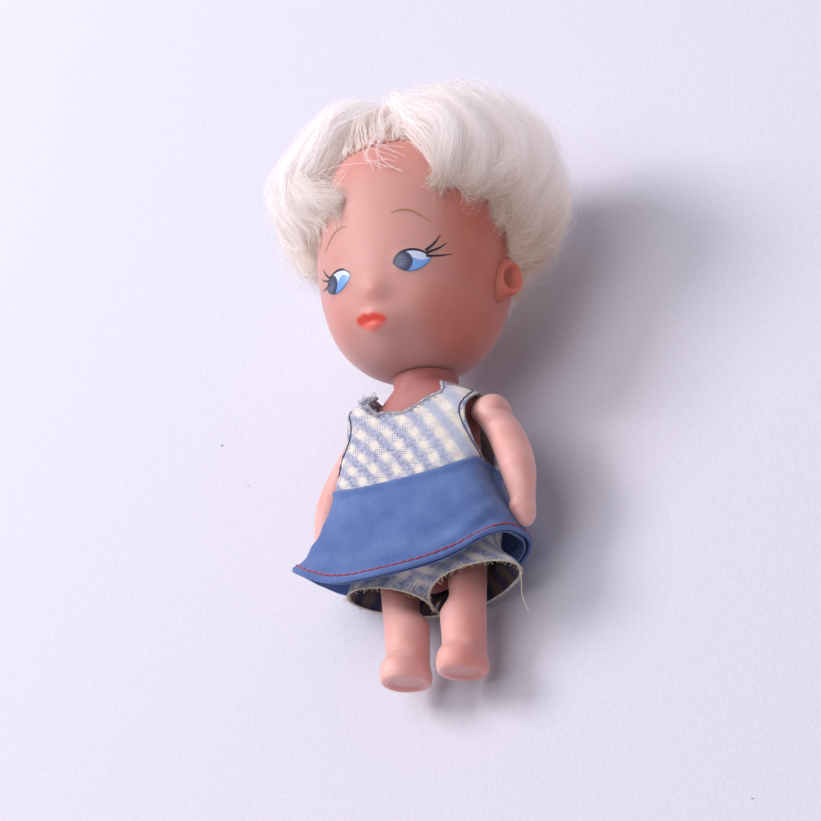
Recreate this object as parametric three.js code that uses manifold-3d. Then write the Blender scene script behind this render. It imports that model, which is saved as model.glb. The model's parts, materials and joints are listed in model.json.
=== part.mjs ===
// A miniature play doll: vinyl head, arms and legs plugged into a hollow torso, rooted hair,
// a sleeveless dress with a snapped back opening, and bloomers.
// Millimetres. The doll is modelled in its own body frame, +X to its left, +Y up its spine and
// +Z out of its chest, from the base of its neck. It is then laid on its back on the table,
// so that +Z is up and +Y still runs from the feet to the head.
import * as THREE from "three";
import { mergeVertices } from "three/addons/utils/BufferGeometryUtils.js";
import Module from "manifold-3d";

const wasm = await Module();
wasm.setup();

// Gap left between pieces that touch, and round the plugs that turn in their holes.
const clearance = 0.3;

// Head: a hollow moulded shell, full at the cheeks, on the neck post.
const headHalfWidth = 14.3;
const faceDepth = 13.1;
const backOfHeadDepth = 16;
const headForward = 2.4;
const jawHeight = 1.8;
const templeRise = 22.2;
const crownRise = 17.1;
const headWall = 1.6;
const jawFullness = 2.7;
const crownFullness = 2.1;
const napeTuck = 0.1;
const noseLevel = 9.6;
const noseProud = 1.7;
const eyeLevel = 13.6;
const eyeOffset = 6.2;
const eyeSocketDepth = 0.5;
const lipLevel = 5.6;
const lipProud = 1.6;
const chinProud = 0.8;
const cheekProud = 0.7;
const earLevel = 13.4;
const earHalfHeight = 3.1;
const earHalfWidth = 1.9;
const earProud = 0.9;
const earAzimuth = 103;

// Neck post of the torso, which the head's neck hole snaps over.
const neckRadius = 4.6;
const neckGrooveRadius = 2.8;
const neckKnobRadius = 3.6;
const neckKnobHeight = 2.6;

// Torso: a hollow shell with flat recesses for the limbs.
const torsoWall = 0.9;
const torsoSquareness = 2.4;
const shoulderHalfWidth = 8.1;
const waistHalfWidth = 7.8;
const hipHalfWidth = 8.6;
const chestDepth = 4.6;
const bellyDepth = 5.4;
const seatDepth = 4.9;
const shoulderDrop = 6.4;
const hipDrop = 26;

// Arms.
const shoulderRecess = 7.2;
const shoulderDiscRadius = 3.1;
const shoulderPlugRadius = 1.2;
const shoulderFlangeRadius = 1.9;
const armLength = 17.9;
const upperArmRadius = 2.7;
const wristRadius = 1.75;
const leftArmSpread = 16;
const rightArmSpread = 26;
const armBow = 1.6;

// Legs.
const hipRecess = 2.7;
const hipDiscRadius = 4.2;
const hipPlugRadius = 1.8;
const hipFlangeRadius = 2.8;
const flangeThickness = 0.8;
const legLength = 17;
const legRadius = 3.15;
const legOffset = 4.4;
const toeProud = 1.5;
const soleRecess = 0.5;
const soleRim = 0.9;

// Hair: locks rooted in the scalp and set in rolls.
const hairHeight = 8;
const hairTopThickness = 5.2;
const hairBackThickness = 6.4;
const hairEdgeShare = 0.75;
const hairFlattening = 0.9;
const hairlineLatitude = 34.5;
const crownLatitude = 63;
const lockGap = 0.35;

// Dress.
const clothThickness = 0.45;
const clothSquareness = 3;
const dressEase = 0.55;
const backEase = 3.4;
const necklineDrop = 5.4;
const necklineBackDrop = 1.8;
const shoulderSeamDrop = 0.3;
const shoulderSeamSpread = 60;
const shoulderClothHalfWidth = 11.6;
const necklineHalfWidth = 6.6;
const dressShift = 1;
const tuckedHalfWidth = 11.088;
const armholeHalfHeight = 6.5;
const armholeHalfDepth = 4.8;
const armholeEase = 1.3;
const bandSeamDrop = 16.2;
const bandSeamSideDrop = 13.6;
const bandTopHalfWidth = 12.6;
const armTuck = 1 - tuckedHalfWidth / bandTopHalfWidth;
const bandTopDepth = 7.7;
const hemDrop = 31.5;
const hemSideDrop = 26.2;
const hemBackDrop = 30;
const hemHalfWidth = 17.7;
const hemFrontDepth = 9.5;
const hemBackDepth = 8;
const hemFoldHeight = 1.8;
const hemShift = 2.4;
const edgingRadius = 0.3;
const placketHalfWidth = 2.2;
const placketLength = 11;
const snapRadius = 1.7;
const snapPinRadius = 0.45;
const snapDrop = 5.2;
const socketThickness = 0.7;
const studThickness = 0.4;
const placketTopDrop = 3;

// Bloomers.
const waistbandDrop = 15.6;
const elasticHeight = 2;
const elasticThickness = 0.35;
const legOpeningHalfWidth = 5.9;
const legOpeningFront = 5.6;
const legOpeningBack = 5.9;
const legOpeningFrontDrop = 28.4;
const legOpeningBackDrop = 31;
const inseamDrop = 32.2;

// Colours of the pieces.
const skinColour = 0xe0a493;
const torsoColour = 0xdb9c8c;
const hairColour = 0xf1ece2;
const ginghamColour = 0xc9cdd9;
const bandColour = 0x5f7fb3;
const edgingColour = 0x5d6580;
const elasticColour = 0xe9e4d8;
const snapColour = 0xb9bcc0;
const creamColour = 0xe4dac6;

const degree = Math.PI / 180;
const quarterTurn = Math.PI / 2;
const fullTurn = 2 * Math.PI;
const left = 1;
const right = -1;

function smooth(from, to, value) {
  return THREE.MathUtils.smoothstep(value, from, to);
}

function mix(from, to, share) {
  return from + (to - from) * share;
}

// A power that keeps the sign, which makes a round section squarer.
function signedPower(value, power) {
  return Math.sign(value) * Math.abs(value) ** power;
}

function bump(distance, spread) {
  return Math.exp(-((distance / spread) ** 2));
}

// A smooth curve through [place, value] stations, which never overshoots a station.
function curveThrough(stations) {
  const sorted = [...stations].sort((a, b) => a[0] - b[0]);
  const rises = sorted.slice(1).map(([x, y], i) => (y - sorted[i][1]) / (x - sorted[i][0]));
  const slopes = sorted.map((_, i) => {
    const before = rises[i - 1] ?? rises[0];
    const after = rises[i] ?? rises[rises.length - 1];
    return before * after <= 0 ? 0 : (2 * before * after) / (before + after);
  });
  return (place) => {
    const last = sorted.length - 2;
    let i = 0;
    while (i < last && place > sorted[i + 1][0]) i += 1;
    const width = sorted[i + 1][0] - sorted[i][0];
    const t = THREE.MathUtils.clamp((place - sorted[i][0]) / width, 0, 1);
    const rest = 1 - t;
    return (
      sorted[i][1] * (1 + 2 * t) * rest * rest +
      slopes[i] * width * t * rest * rest +
      sorted[i + 1][1] * t * t * (3 - 2 * t) -
      slopes[i + 1] * width * t * t * rest
    );
  };
}

const headMiddle = jawHeight + templeRise;

// The table that the doll lies on touches the back of its hair and the back of its hem.
const hairRestLevel = headMiddle;
const hairRestDepth = backOfHeadDepth - headForward + hairBackThickness - hairFlattening;
const recline = Math.atan2(hairRestDepth - hemBackDepth, hairRestLevel + hemBackDrop);
const neckHeight = hairRestDepth * Math.cos(recline) - hairRestLevel * Math.sin(recline);

// Lifts a point of the body frame that is lower than a height over the table up to it.
function keepAboveTable(point, height = 0) {
  const short =
    height - (neckHeight + point.y * Math.sin(recline) + point.z * Math.cos(recline));
  if (short > 0) {
    point.y += short * Math.sin(recline);
    point.z += short * Math.cos(recline);
  }
  return point;
}

function geometryOf(points, faces) {
  const geometry = new THREE.BufferGeometry();
  geometry.setAttribute(
    "position",
    new THREE.Float32BufferAttribute(points.flatMap((p) => [p.x, p.y, p.z]), 3),
  );
  geometry.setIndex(faces.flat());
  return geometry;
}

function manifoldOf(geometry) {
  const bare = geometry.clone();
  bare.deleteAttribute("normal");
  bare.deleteAttribute("uv");
  const merged = mergeVertices(bare, 1e-4);
  const solid = new wasm.Manifold(
    new wasm.Mesh({
      numProp: 3,
      vertProperties: merged.attributes.position.array,
      triVerts: new Uint32Array(merged.index.array),
    }),
  );
  return solid;
}

function geometryFrom(solid) {
  const mesh = solid.getMesh();
  const geometry = new THREE.BufferGeometry();
  geometry.setAttribute("position", new THREE.BufferAttribute(mesh.vertProperties, 3));
  geometry.setIndex(new THREE.BufferAttribute(mesh.triVerts, 1));
  return geometry;
}

// A closed solid through rings of points that all run the same way round, from first to last.
function loft(rings) {
  const count = rings[0].length;
  const points = rings.flat();
  const faces = [];
  for (let r = 0; r + 1 < rings.length; r += 1) {
    for (let i = 0; i < count; i += 1) {
      const next = (i + 1) % count;
      const [a, b] = [r * count + i, r * count + next];
      const [c, d] = [a + count, b + count];
      faces.push([a, b, d], [a, d, c]);
    }
  }
  const centre = (ring) =>
    ring.reduce((sum, p) => sum.add(p), new THREE.Vector3()).divideScalar(count);
  const start = points.push(centre(rings[0])) - 1;
  const end = points.push(centre(rings[rings.length - 1])) - 1;
  const lastRing = (rings.length - 1) * count;
  for (let i = 0; i < count; i += 1) {
    const next = (i + 1) % count;
    faces.push([start, next, i], [end, lastRing + i, lastRing + next]);
  }
  return geometryOf(points, faces);
}

// A sheet of cloth or a lock of hair: an outer and an inner face over the same grid, joined
// at its edges. With round set, the sheet closes on itself along its first direction.
function sheet(outer, inner, columns, rows, round = false) {
  const across = round ? columns : columns + 1;
  const points = [];
  for (const face of [outer, inner]) {
    for (let j = 0; j <= rows; j += 1) {
      for (let i = 0; i < across; i += 1) points.push(face(i / columns, j / rows));
    }
  }
  const layer = across * (rows + 1);
  const at = (i, j) => j * across + (i % across);
  const faces = [];
  for (let j = 0; j < rows; j += 1) {
    for (let i = 0; i < columns; i += 1) {
      const [a, b, c, d] = [at(i, j), at(i + 1, j), at(i + 1, j + 1), at(i, j + 1)];
      faces.push([a, b, c], [a, c, d]);
      faces.push([layer + a, layer + c, layer + b], [layer + a, layer + d, layer + c]);
    }
  }
  const edge = (a, b) => faces.push([b, a, layer + a], [b, layer + a, layer + b]);
  for (let i = 0; i < columns; i += 1) {
    edge(at(i, 0), at(i + 1, 0));
    edge(at(i + 1, rows), at(i, rows));
  }
  if (!round) {
    for (let j = 0; j < rows; j += 1) {
      edge(at(0, j + 1), at(0, j));
      edge(at(columns, j), at(columns, j + 1));
    }
  }
  return geometryOf(points, faces);
}

// A round bar along X between two places, about a centre in Y and Z.
function barAlongX(from, to, radius, y, z = 0, sides = 16) {
  const bar = new THREE.CylinderGeometry(radius, radius, Math.abs(to - from), sides);
  bar.rotateZ(quarterTurn);
  bar.translate((from + to) / 2, y, z);
  return manifoldOf(bar);
}

function barAlongY(from, to, radius, sides = 24) {
  const bar = new THREE.CylinderGeometry(radius, radius, to - from, sides);
  bar.translate(0, (from + to) / 2, 0);
  return manifoldOf(bar);
}

function boxBetween(low, high) {
  const box = new THREE.BoxGeometry(...high.map((value, i) => value - low[i]));
  box.translate(...high.map((value, i) => (value + low[i]) / 2));
  return manifoldOf(box);
}

function ellipsoid(halves, centre, sides = 16) {
  const ball = new THREE.SphereGeometry(1, sides, sides / 2);
  ball.scale(...halves);
  ball.translate(...centre);
  return manifoldOf(ball);
}

function piece(name, shape, colour, roughness, metalness = 0) {
  const geometry = shape.isBufferGeometry ? shape : geometryFrom(shape);
  geometry.computeVertexNormals();
  const material = new THREE.MeshStandardMaterial({ color: colour, roughness, metalness });
  const mesh = new THREE.Mesh(geometry, material);
  mesh.name = name;
  return mesh;
}

// The skin of the head at a latitude, -90 degrees under the jaw and 90 at the crown, and an
// azimuth, 0 at the nose and 90 degrees at the left ear. The face is raised on it.
function headPoint(latitude, azimuth) {
  const fullness = latitude < 0 ? jawFullness : crownFullness;
  const rise = signedPower(Math.sin(latitude), latitude < 0 ? 0.8 : 1);
  const reach = Math.max(1 - Math.abs(rise) ** fullness, 0) ** (1 / fullness);
  const facing = Math.cos(azimuth);
  const tuck = latitude < 0 ? 1 - napeTuck * rise * rise : 1;
  const depth = facing > 0 ? faceDepth : backOfHeadDepth * tuck;
  const point = new THREE.Vector3(
    headHalfWidth * reach * Math.sin(azimuth),
    headMiddle + rise * (latitude < 0 ? templeRise : crownRise),
    depth * reach * facing,
  );
  if (facing > 0) point.z += faceRelief(point.x, point.y) * Math.min(1, 3 * facing);
  point.z += headForward;
  return point;
}

// How far the features stand out of the plain front of the head.
function faceRelief(x, y) {
  const side = Math.abs(x);
  const nose = noseProud * bump(side, 1.6) * bump(y - noseLevel, 1.5);
  const bridge = 0.2 * bump(side, 3) * bump(y - noseLevel - 3.4, 2.6);
  const sockets = eyeSocketDepth * bump(side - eyeOffset, 3) * bump(y - eyeLevel, 2.2);
  const lips = lipProud * bump(side, 3.2) * bump(y - lipLevel, 2.2);
  const chin = chinProud * bump(side, 3.4) * bump(y - jawHeight - 1.4, 2);
  const cheeks = cheekProud * bump(side - 7.4, 4) * bump(y - lipLevel - 1.6, 4);
  return nose + bridge - sockets + lips + chin + cheeks;
}

// Azimuths that crowd together at the face, where the relief is fine.
function faceCrowded(share) {
  return fullTurn * share - 0.5 * Math.sin(fullTurn * share);
}

function headSkin(columns, rows, inset) {
  const rings = [];
  const centre = new THREE.Vector3(0, headMiddle, headForward);
  for (let r = 1; r < rows; r += 1) {
    const latitude = mix(-quarterTurn, quarterTurn, r / rows);
    const ring = [];
    for (let i = 0; i < columns; i += 1) {
      const point = headPoint(latitude, faceCrowded(i / columns));
      const outward = point.clone().sub(centre).normalize();
      ring.push(point.addScaledVector(outward, -inset));
    }
    rings.push(ring);
  }
  return loft(rings);
}

// An ear: a raised oval rim with a hollow in it, leaning on the side of the head.
function withEar(head, side) {
  const place = headPoint(0, earAzimuth * degree);
  const at = [side * (place.x - 0.4), earLevel, place.z];
  const rim = ellipsoid([earProud + 0.4, earHalfHeight, earHalfWidth], at, 20);
  const hollowAt = [side * (place.x + earProud + 0.5), earLevel + 0.3, place.z + 0.3];
  const hollow = ellipsoid([1.5, earHalfHeight - 1.1, earHalfWidth - 0.8], hollowAt, 16);
  return head.add(rim).subtract(hollow);
}

const neckHoleTop = jawHeight + headWall;

function headShell() {
  let head = manifoldOf(headSkin(38, 28, 0));
  head = withEar(withEar(head, left), right);
  const hollow = manifoldOf(headSkin(14, 10, headWall));
  const floorOfHollow = boxBetween(
    [-2 * headHalfWidth, -crownRise, -2 * backOfHeadDepth],
    [2 * headHalfWidth, neckHoleTop, 2 * backOfHeadDepth],
  );
  const neckHole = barAlongY(jawHeight - 1, neckHoleTop + 1, neckGrooveRadius + clearance);
  const knobRoom = barAlongY(
    neckHoleTop,
    neckHoleTop + neckKnobHeight + 1,
    neckKnobRadius + 2 * clearance,
  );
  return head
    .subtract(hollow.subtract(floorOfHollow))
    .subtract(neckHole)
    .subtract(knobRoom);
}

// Half width and depth of the torso at a height, which is negative below the neck.
const crotch = -hipDrop - hipDiscRadius;
const torsoHalfWidth = curveThrough([
  [0.2, neckRadius],
  [-1, neckRadius + 1.2],
  [-2.4, shoulderHalfWidth - 0.8],
  [-shoulderDrop, shoulderHalfWidth],
  [-hipDrop / 2, waistHalfWidth],
  [-hipDrop + 3, hipHalfWidth],
  [-hipDrop - 1, hipHalfWidth - 0.8],
  [-hipDrop - 2.8, hipHalfWidth - 3.2],
  [crotch, 1.2],
]);
const torsoFront = curveThrough([
  [0.6, neckRadius],
  [-2.2, chestDepth - 0.4],
  [-7, chestDepth],
  [-hipDrop * 0.65, bellyDepth],
  [-hipDrop + 2, bellyDepth - 0.2],
  [-hipDrop - 2, hipDiscRadius - 0.4],
  [crotch, 0.9],
]);
const torsoBack = curveThrough([
  [0.6, neckRadius],
  [-2.4, chestDepth - 0.5],
  [-8, chestDepth - 0.7],
  [-hipDrop * 0.6, chestDepth - 0.4],
  [-hipDrop + 3, seatDepth],
  [-hipDrop - 1.6, hipDiscRadius - 0.1],
  [crotch, 0.9],
]);

function torsoSkin(inset, columns, rows) {
  const rings = [];
  const top = 0.1 - inset;
  for (let r = 0; r <= rows; r += 1) {
    const share = (1 - Math.cos((Math.PI * r) / rows)) / 2;
    const y = mix(crotch + inset, top, share);
    const ring = [];
    for (let i = 0; i < columns; i += 1) {
      const angle = (fullTurn * i) / columns;
      const facing = Math.cos(angle);
      const depth = facing > 0 ? torsoFront(y) : torsoBack(y);
      const shrink = (value) => Math.max(value - inset, 0.3);
      const power = 2 / torsoSquareness;
      ring.push(
        new THREE.Vector3(
          shrink(torsoHalfWidth(y)) * signedPower(Math.sin(angle), power),
          y,
          shrink(depth) * signedPower(facing, power),
        ),
      );
    }
    rings.push(ring);
  }
  return manifoldOf(loft(rings));
}

// The neck post, turned: the neck, the groove that the head's hole sits in, and the knob.
function neckPost() {
  const seat = jawHeight - clearance;
  const knobFoot = neckHoleTop + clearance;
  const knobTop = knobFoot + neckKnobHeight;
  const outline = [
    [0, -2],
    [neckRadius, -2],
    [neckRadius, seat],
    [neckGrooveRadius, seat],
    [neckGrooveRadius, knobFoot],
    [neckKnobRadius, knobFoot],
    [neckKnobRadius, knobFoot + neckKnobHeight / 3],
    [neckKnobRadius * 0.72, knobTop - 0.3],
    [0, knobTop],
  ];
  const points = outline.map(([r, y]) => new THREE.Vector2(r, y));
  return manifoldOf(new THREE.LatheGeometry(points, 24));
}

function torsoShell() {
  let torso = torsoSkin(0, 20, 16).add(neckPost());
  let hollow = torsoSkin(torsoWall, 14, 10);
  const far = 2 * hipHalfWidth;
  for (const side of [left, right]) {
    const shoulder = barAlongX(
      side * shoulderRecess,
      side * far,
      shoulderDiscRadius + clearance,
      -shoulderDrop,
    );
    const hip = barAlongX(side * hipRecess, side * far, hipDiscRadius + clearance, -hipDrop);
    torso = torso.subtract(shoulder).subtract(hip);
    const behindShoulder = barAlongX(
      side * (shoulderRecess - torsoWall),
      side * far,
      shoulderDiscRadius + clearance + torsoWall,
      -shoulderDrop,
    );
    const behindHip = barAlongX(
      side * (hipRecess - torsoWall),
      side * far,
      hipDiscRadius + clearance + torsoWall,
      -hipDrop,
    );
    hollow = hollow
      .subtract(behindShoulder)
      .subtract(behindHip)
      .add(flangeRoom(side, shoulderRecess, shoulderFlangeRadius, -shoulderDrop))
      .add(flangeRoom(side, hipRecess, hipFlangeRadius, -hipDrop));
  }
  torso = torso.subtract(hollow);
  const shoulderHole = barAlongX(
    -shoulderRecess - 1,
    shoulderRecess + 1,
    shoulderPlugRadius + clearance,
    -shoulderDrop,
  );
  const hipHole = barAlongX(
    -hipRecess - 1,
    hipRecess + 1,
    hipPlugRadius + clearance,
    -hipDrop,
  );
  return torso.subtract(shoulderHole).subtract(hipHole);
}

// The hollow behind a limb's recess that its flange turns in.
function flangeRoom(side, recess, flange, y) {
  const wall = recess - torsoWall;
  const far = Math.max(wall - flangeThickness - 2 * clearance, 0);
  return barAlongX(side * far, side * wall, flange + clearance, y);
}

// A mushroom plug along X: a neck through the torso's wall and a flange behind it.
function plug(side, recess, neck, flange, y) {
  const inside = recess - torsoWall - clearance;
  const shank = barAlongX(side * (inside - flangeThickness), side * (recess + 1.5), neck, y);
  const head = barAlongX(side * (inside - flangeThickness), side * inside, flange, y);
  return shank.add(head);
}

// A rounded ring round a limb, square to the body's height.
function limbRing(centre, halfWidth, halfDepth, squareness = 2, sides = 14) {
  const power = 2 / squareness;
  const ring = [];
  for (let i = 0; i < sides; i += 1) {
    const angle = (fullTurn * i) / sides;
    const [s, c] = [Math.sin(angle), Math.cos(angle)];
    ring.push(
      new THREE.Vector3(
        centre.x + halfWidth * signedPower(s, power),
        centre.y,
        centre.z + halfDepth * signedPower(c, power),
      ),
    );
  }
  return ring;
}

// An arm hangs from its disc, spreads outwards and narrows to a mitten hand.
function arm(side) {
  const spread = (side > 0 ? leftArmSpread : rightArmSpread) * degree;
  const discHalf = (upperArmRadius * 2 + 0.2) / 2;
  const discCentre = shoulderRecess + clearance + discHalf;
  const reach = armLength * Math.cos(spread);
  const radius = curveThrough([
    [0, upperArmRadius],
    [0.3, upperArmRadius],
    [0.5, upperArmRadius - 0.15],
    [0.78, wristRadius],
    [0.9, wristRadius - 0.15],
    [0.97, wristRadius * 0.62],
    [1, wristRadius * 0.2],
  ]);
  const rings = [];
  const steps = 14;
  for (let r = 0; r <= steps; r += 1) {
    const down = 1 - r / steps;
    const y = -shoulderDrop - down * reach;
    const bow = armBow * Math.sin(Math.PI * down ** 0.75);
    const out = discCentre + bow + down * armLength * Math.sin(spread);
    const half = radius(down);
    const below = Math.min(down * reach, shoulderDiscRadius);
    const depth = Math.max(half * 0.92, Math.sqrt(shoulderDiscRadius ** 2 - below ** 2));
    const place = new THREE.Vector3(side * out, y, 0.3 * Math.sin(Math.PI * down));
    rings.push(limbRing(place, half, depth));
  }
  const domeSteps = 5;
  for (let r = 1; r < domeSteps; r += 1) {
    const angle = (quarterTurn * r) / domeSteps;
    const place = new THREE.Vector3(
      side * discCentre,
      -shoulderDrop + shoulderDiscRadius * Math.sin(angle),
      0,
    );
    const half = discHalf * Math.cos(angle) ** 0.8;
    rings.push(limbRing(place, half, shoulderDiscRadius * Math.cos(angle), 2.2));
  }
  const limb = manifoldOf(loft(rings));
  const inner = boxBetween(
    [-shoulderRecess - clearance, -hipDrop - legLength, -hemFrontDepth],
    [shoulderRecess + clearance, crownRise, hemFrontDepth],
  );
  return limb
    .subtract(inner)
    .add(plug(side, shoulderRecess, shoulderPlugRadius, shoulderFlangeRadius, -shoulderDrop));
}

// A leg: a disc at the hip, a straight stubby shaft, and a foot with a small toe and a
// recessed sole.
function leg(side) {
  const sole = -hipDrop - legLength;
  const inside = hipRecess + clearance;
  const discHalf = (legOffset + legRadius - inside) / 2;
  const discCentre = inside + discHalf;
  const shaftTop = -hipDrop - hipDiscRadius * 2;
  const stations = [
    [-hipDrop, discHalf, discCentre, hipDiscRadius, 0],
    [-hipDrop - hipDiscRadius * 0.9, discHalf, discCentre, legRadius + 0.5, 0],
    [-hipDrop - 5.8, discHalf, discCentre, legRadius + 0.1, 0],
    [shaftTop, legRadius, legOffset, legRadius, 0],
    [sole + 4.6, legRadius - 0.15, legOffset, legRadius - 0.15, 0],
    [sole + 2.6, legRadius, legOffset, legRadius + toeProud / 2, toeProud / 2],
    [sole + 1.2, legRadius + 0.2, legOffset, legRadius + toeProud / 2 + 0.3, toeProud / 2],
    [sole, legRadius, legOffset, legRadius + toeProud / 2, toeProud / 2],
  ];
  const along = (column) => curveThrough(stations.map((row) => [row[0], row[column]]));
  const [halfWidth, offset, halfDepth, forward] = [1, 2, 3, 4].map(along);
  const rings = [];
  const steps = 16;
  for (let r = 0; r <= steps; r += 1) {
    const y = mix(sole, -hipDrop, r / steps);
    const place = new THREE.Vector3(side * offset(y), y, forward(y));
    rings.push(limbRing(place, halfWidth(y), halfDepth(y), 2.1));
  }
  const domeSteps = 6;
  for (let r = 1; r < domeSteps; r += 1) {
    const angle = (quarterTurn * r) / domeSteps;
    const place = new THREE.Vector3(
      side * discCentre,
      -hipDrop + hipDiscRadius * Math.sin(angle),
      0,
    );
    const half = discHalf * Math.cos(angle) ** 0.5;
    rings.push(limbRing(place, half, hipDiscRadius * Math.cos(angle), 2.1));
  }
  const soleCentre = new THREE.Vector3(side * legOffset, sole, toeProud / 2);
  const hollow = loft(
    [-1, soleRecess].map((rise) =>
      limbRing(
        soleCentre.clone().add(new THREE.Vector3(0, rise, 0)),
        legRadius - soleRim,
        legRadius + toeProud / 2 - soleRim,
      ),
    ),
  );
  return manifoldOf(loft(rings))
    .subtract(manifoldOf(hollow))
    .add(plug(side, hipRecess, hipPlugRadius, hipFlangeRadius, -hipDrop));
}

function hairPoint(latitude, azimuth, thickness) {
  const skin = headPoint(latitude, azimuth);
  const centre = new THREE.Vector3(0, headMiddle, headForward);
  const outward = skin.clone().sub(centre).normalize();
  return skin.addScaledVector(outward, clearance + thickness);
}

// A smooth curve through rows of numbers, at a share of its length from 0 to 1.
function curveOfRows(rows, share) {
  const last = rows.length - 1;
  const i = Math.min(Math.floor(share * last), last - 1);
  const f = share * last - i;
  const [a, b, c, d] = [-1, 0, 1, 2].map((k) => rows[THREE.MathUtils.clamp(i + k, 0, last)]);
  return b.map((value, n) => {
    const slope = (c[n] - a[n]) * f;
    const bend = (2 * a[n] - 5 * value + 4 * c[n] - d[n]) * f * f;
    const twist = (3 * value - a[n] - 3 * c[n] + d[n]) * f ** 3;
    return (2 * value + slope + bend + twist) / 2;
  });
}

// A lock of hair between partings, thick in its middle and thinner along the partings.
function lock(partings, columns = 12, rows = 9) {
  const place = (u, v) => {
    const across = (share) => curveOfRows(partings.map((line) => curveOfRows(line, v)), share);
    const edges = [0, 1].map((share) => {
      const [latitude, azimuth] = across(share);
      return hairPoint(latitude * degree, azimuth * degree, 0);
    });
    const shrink = lockGap / (2 * edges[0].distanceTo(edges[1]));
    return across(mix(shrink, 1 - shrink, u));
  };
  const outer = (u, v) => {
    const [latitude, azimuth, share] = place(u, 1 - v);
    const rounded = mix(hairEdgeShare, 1, (4 * u * (1 - u)) ** 0.5);
    return keepAboveTable(
      hairPoint(latitude * degree, azimuth * degree, hairHeight * share * rounded),
    );
  };
  const inner = (u, v) => {
    const [latitude, azimuth] = place(u, 1 - v);
    return hairPoint(latitude * degree, azimuth * degree, 0);
  };
  return sheet(outer, inner, columns, rows);
}

// The crown lock caps the head above the others.
function crownLock() {
  const columns = 20;
  const steps = 4;
  const ringAt = (step, thickness) => {
    const latitude = mix(crownLatitude * degree, quarterTurn, step / steps);
    const ring = [];
    for (let i = 0; i < columns; i += 1) {
      const azimuth = (fullTurn * i) / columns;
      const wave = thickness > 0 ? 0.4 * Math.sin(3 * azimuth + step) ** 2 : 0;
      ring.push(hairPoint(latitude, azimuth, thickness - wave));
    }
    return ring;
  };
  const rings = [];
  for (let step = steps - 1; step >= 0; step -= 1) rings.push(ringAt(step, 0));
  for (let step = 0; step < steps; step += 1) {
    rings.push(ringAt(step, step === 0 ? hairTopThickness * 0.7 : hairTopThickness));
  }
  return loft(rings);
}

// A point of the dress at an angle round the body, 0 in front and 90 degrees on the left. It
// hangs a little to the doll's right, and the arms press its sides in behind its front.
function round(angle, y, halfWidth, front, back) {
  const facing = Math.cos(angle);
  const depth = facing > 0 ? front : back;
  const power = 2 / clothSquareness;
  const beside = smooth(shoulderDrop, bandSeamSideDrop, -y) * (1 - smooth(bandSeamDrop, hemSideDrop, -y));
  const tuck = armTuck * beside * (1 - smooth(0, 0.75, facing));
  return new THREE.Vector3(
    halfWidth * (1 - tuck) * signedPower(Math.sin(angle), power) - dressShift,
    y,
    depth * signedPower(facing, power),
  );
}

// How far a seam that dips in front has risen at the sides.
function level(angle, front, sideLevel, back = front) {
  const centre = Math.cos(angle) > 0 ? front : back;
  return mix(centre, sideLevel, Math.sin(angle) ** 2);
}

// The bodice's outer face at an angle and a height: it lies on the shoulders, falls past the
// placket behind, and flares to meet the band.
const snug = dressEase + clothThickness;
const armholeTop = -shoulderDrop + shoulderDiscRadius + 2 * edgingRadius + armholeEase + clearance;
const armholeCentre = armholeTop - armholeHalfHeight;

const bodiceHalfWidth = curveThrough([
  [-shoulderSeamDrop + 0.7, necklineHalfWidth],
  [-shoulderSeamDrop - 0.3, necklineHalfWidth + 1.4],
  [-shoulderSeamDrop - 1.7, shoulderClothHalfWidth - 1.4],
  [-shoulderDrop, shoulderClothHalfWidth],
  [-shoulderDrop - 4.3, shoulderClothHalfWidth + 0.2],
  [-bandSeamSideDrop, bandTopHalfWidth],
]);
const bodiceFrontDepth = curveThrough([
  [-shoulderSeamDrop + 0.7, neckRadius + 0.6],
  [-2, chestDepth + snug - 0.4],
  [-7, chestDepth + snug + 0.2],
  [-bandSeamDrop, bandTopDepth],
]);
const bodiceBackDepth = curveThrough([
  [-shoulderSeamDrop + 0.7, neckRadius + 0.8],
  [-2.5, chestDepth + backEase - 1],
  [-7, chestDepth + backEase - 0.7],
  [-bandSeamDrop, bandTopDepth],
]);

function bodiceAt(angle, y, inset) {
  return round(
    angle,
    y,
    bodiceHalfWidth(y) - inset,
    bodiceFrontDepth(y) - inset,
    bodiceBackDepth(y) - inset,
  );
}

// The neckline dips in front and a little behind, and rises to the shoulder seams.
function necklineHeight(angle) {
  const turned = Math.acos(Math.cos(angle));
  const dip = turned < quarterTurn ? necklineDrop : necklineBackDrop;
  const fromMiddle = Math.min(turned, Math.PI - turned);
  return -mix(dip, shoulderSeamDrop, smooth(0, shoulderSeamSpread * degree, fromMiddle));
}

function bodiceCloth() {
  const face = (inset) => (u, v) => {
    const angle = -fullTurn * u;
    const bottom = -level(angle, bandSeamDrop, bandSeamSideDrop) + clearance / 2;
    return bodiceAt(angle, mix(necklineHeight(angle), bottom, v), inset);
  };
  let cloth = manifoldOf(sheet(face(0), face(clothThickness), 32, 7, true));
  for (const side of [left, right]) {
    const armhole = new THREE.CylinderGeometry(1, 1, hipHalfWidth, 24);
    armhole.rotateZ(quarterTurn);
    armhole.scale(1, armholeHalfHeight, armholeHalfDepth);
    armhole.translate(side * (neckRadius + 1.6 + hipHalfWidth / 2) - dressShift, armholeCentre, 0);
    cloth = cloth.subtract(manifoldOf(armhole));
  }
  return cloth;
}

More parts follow.
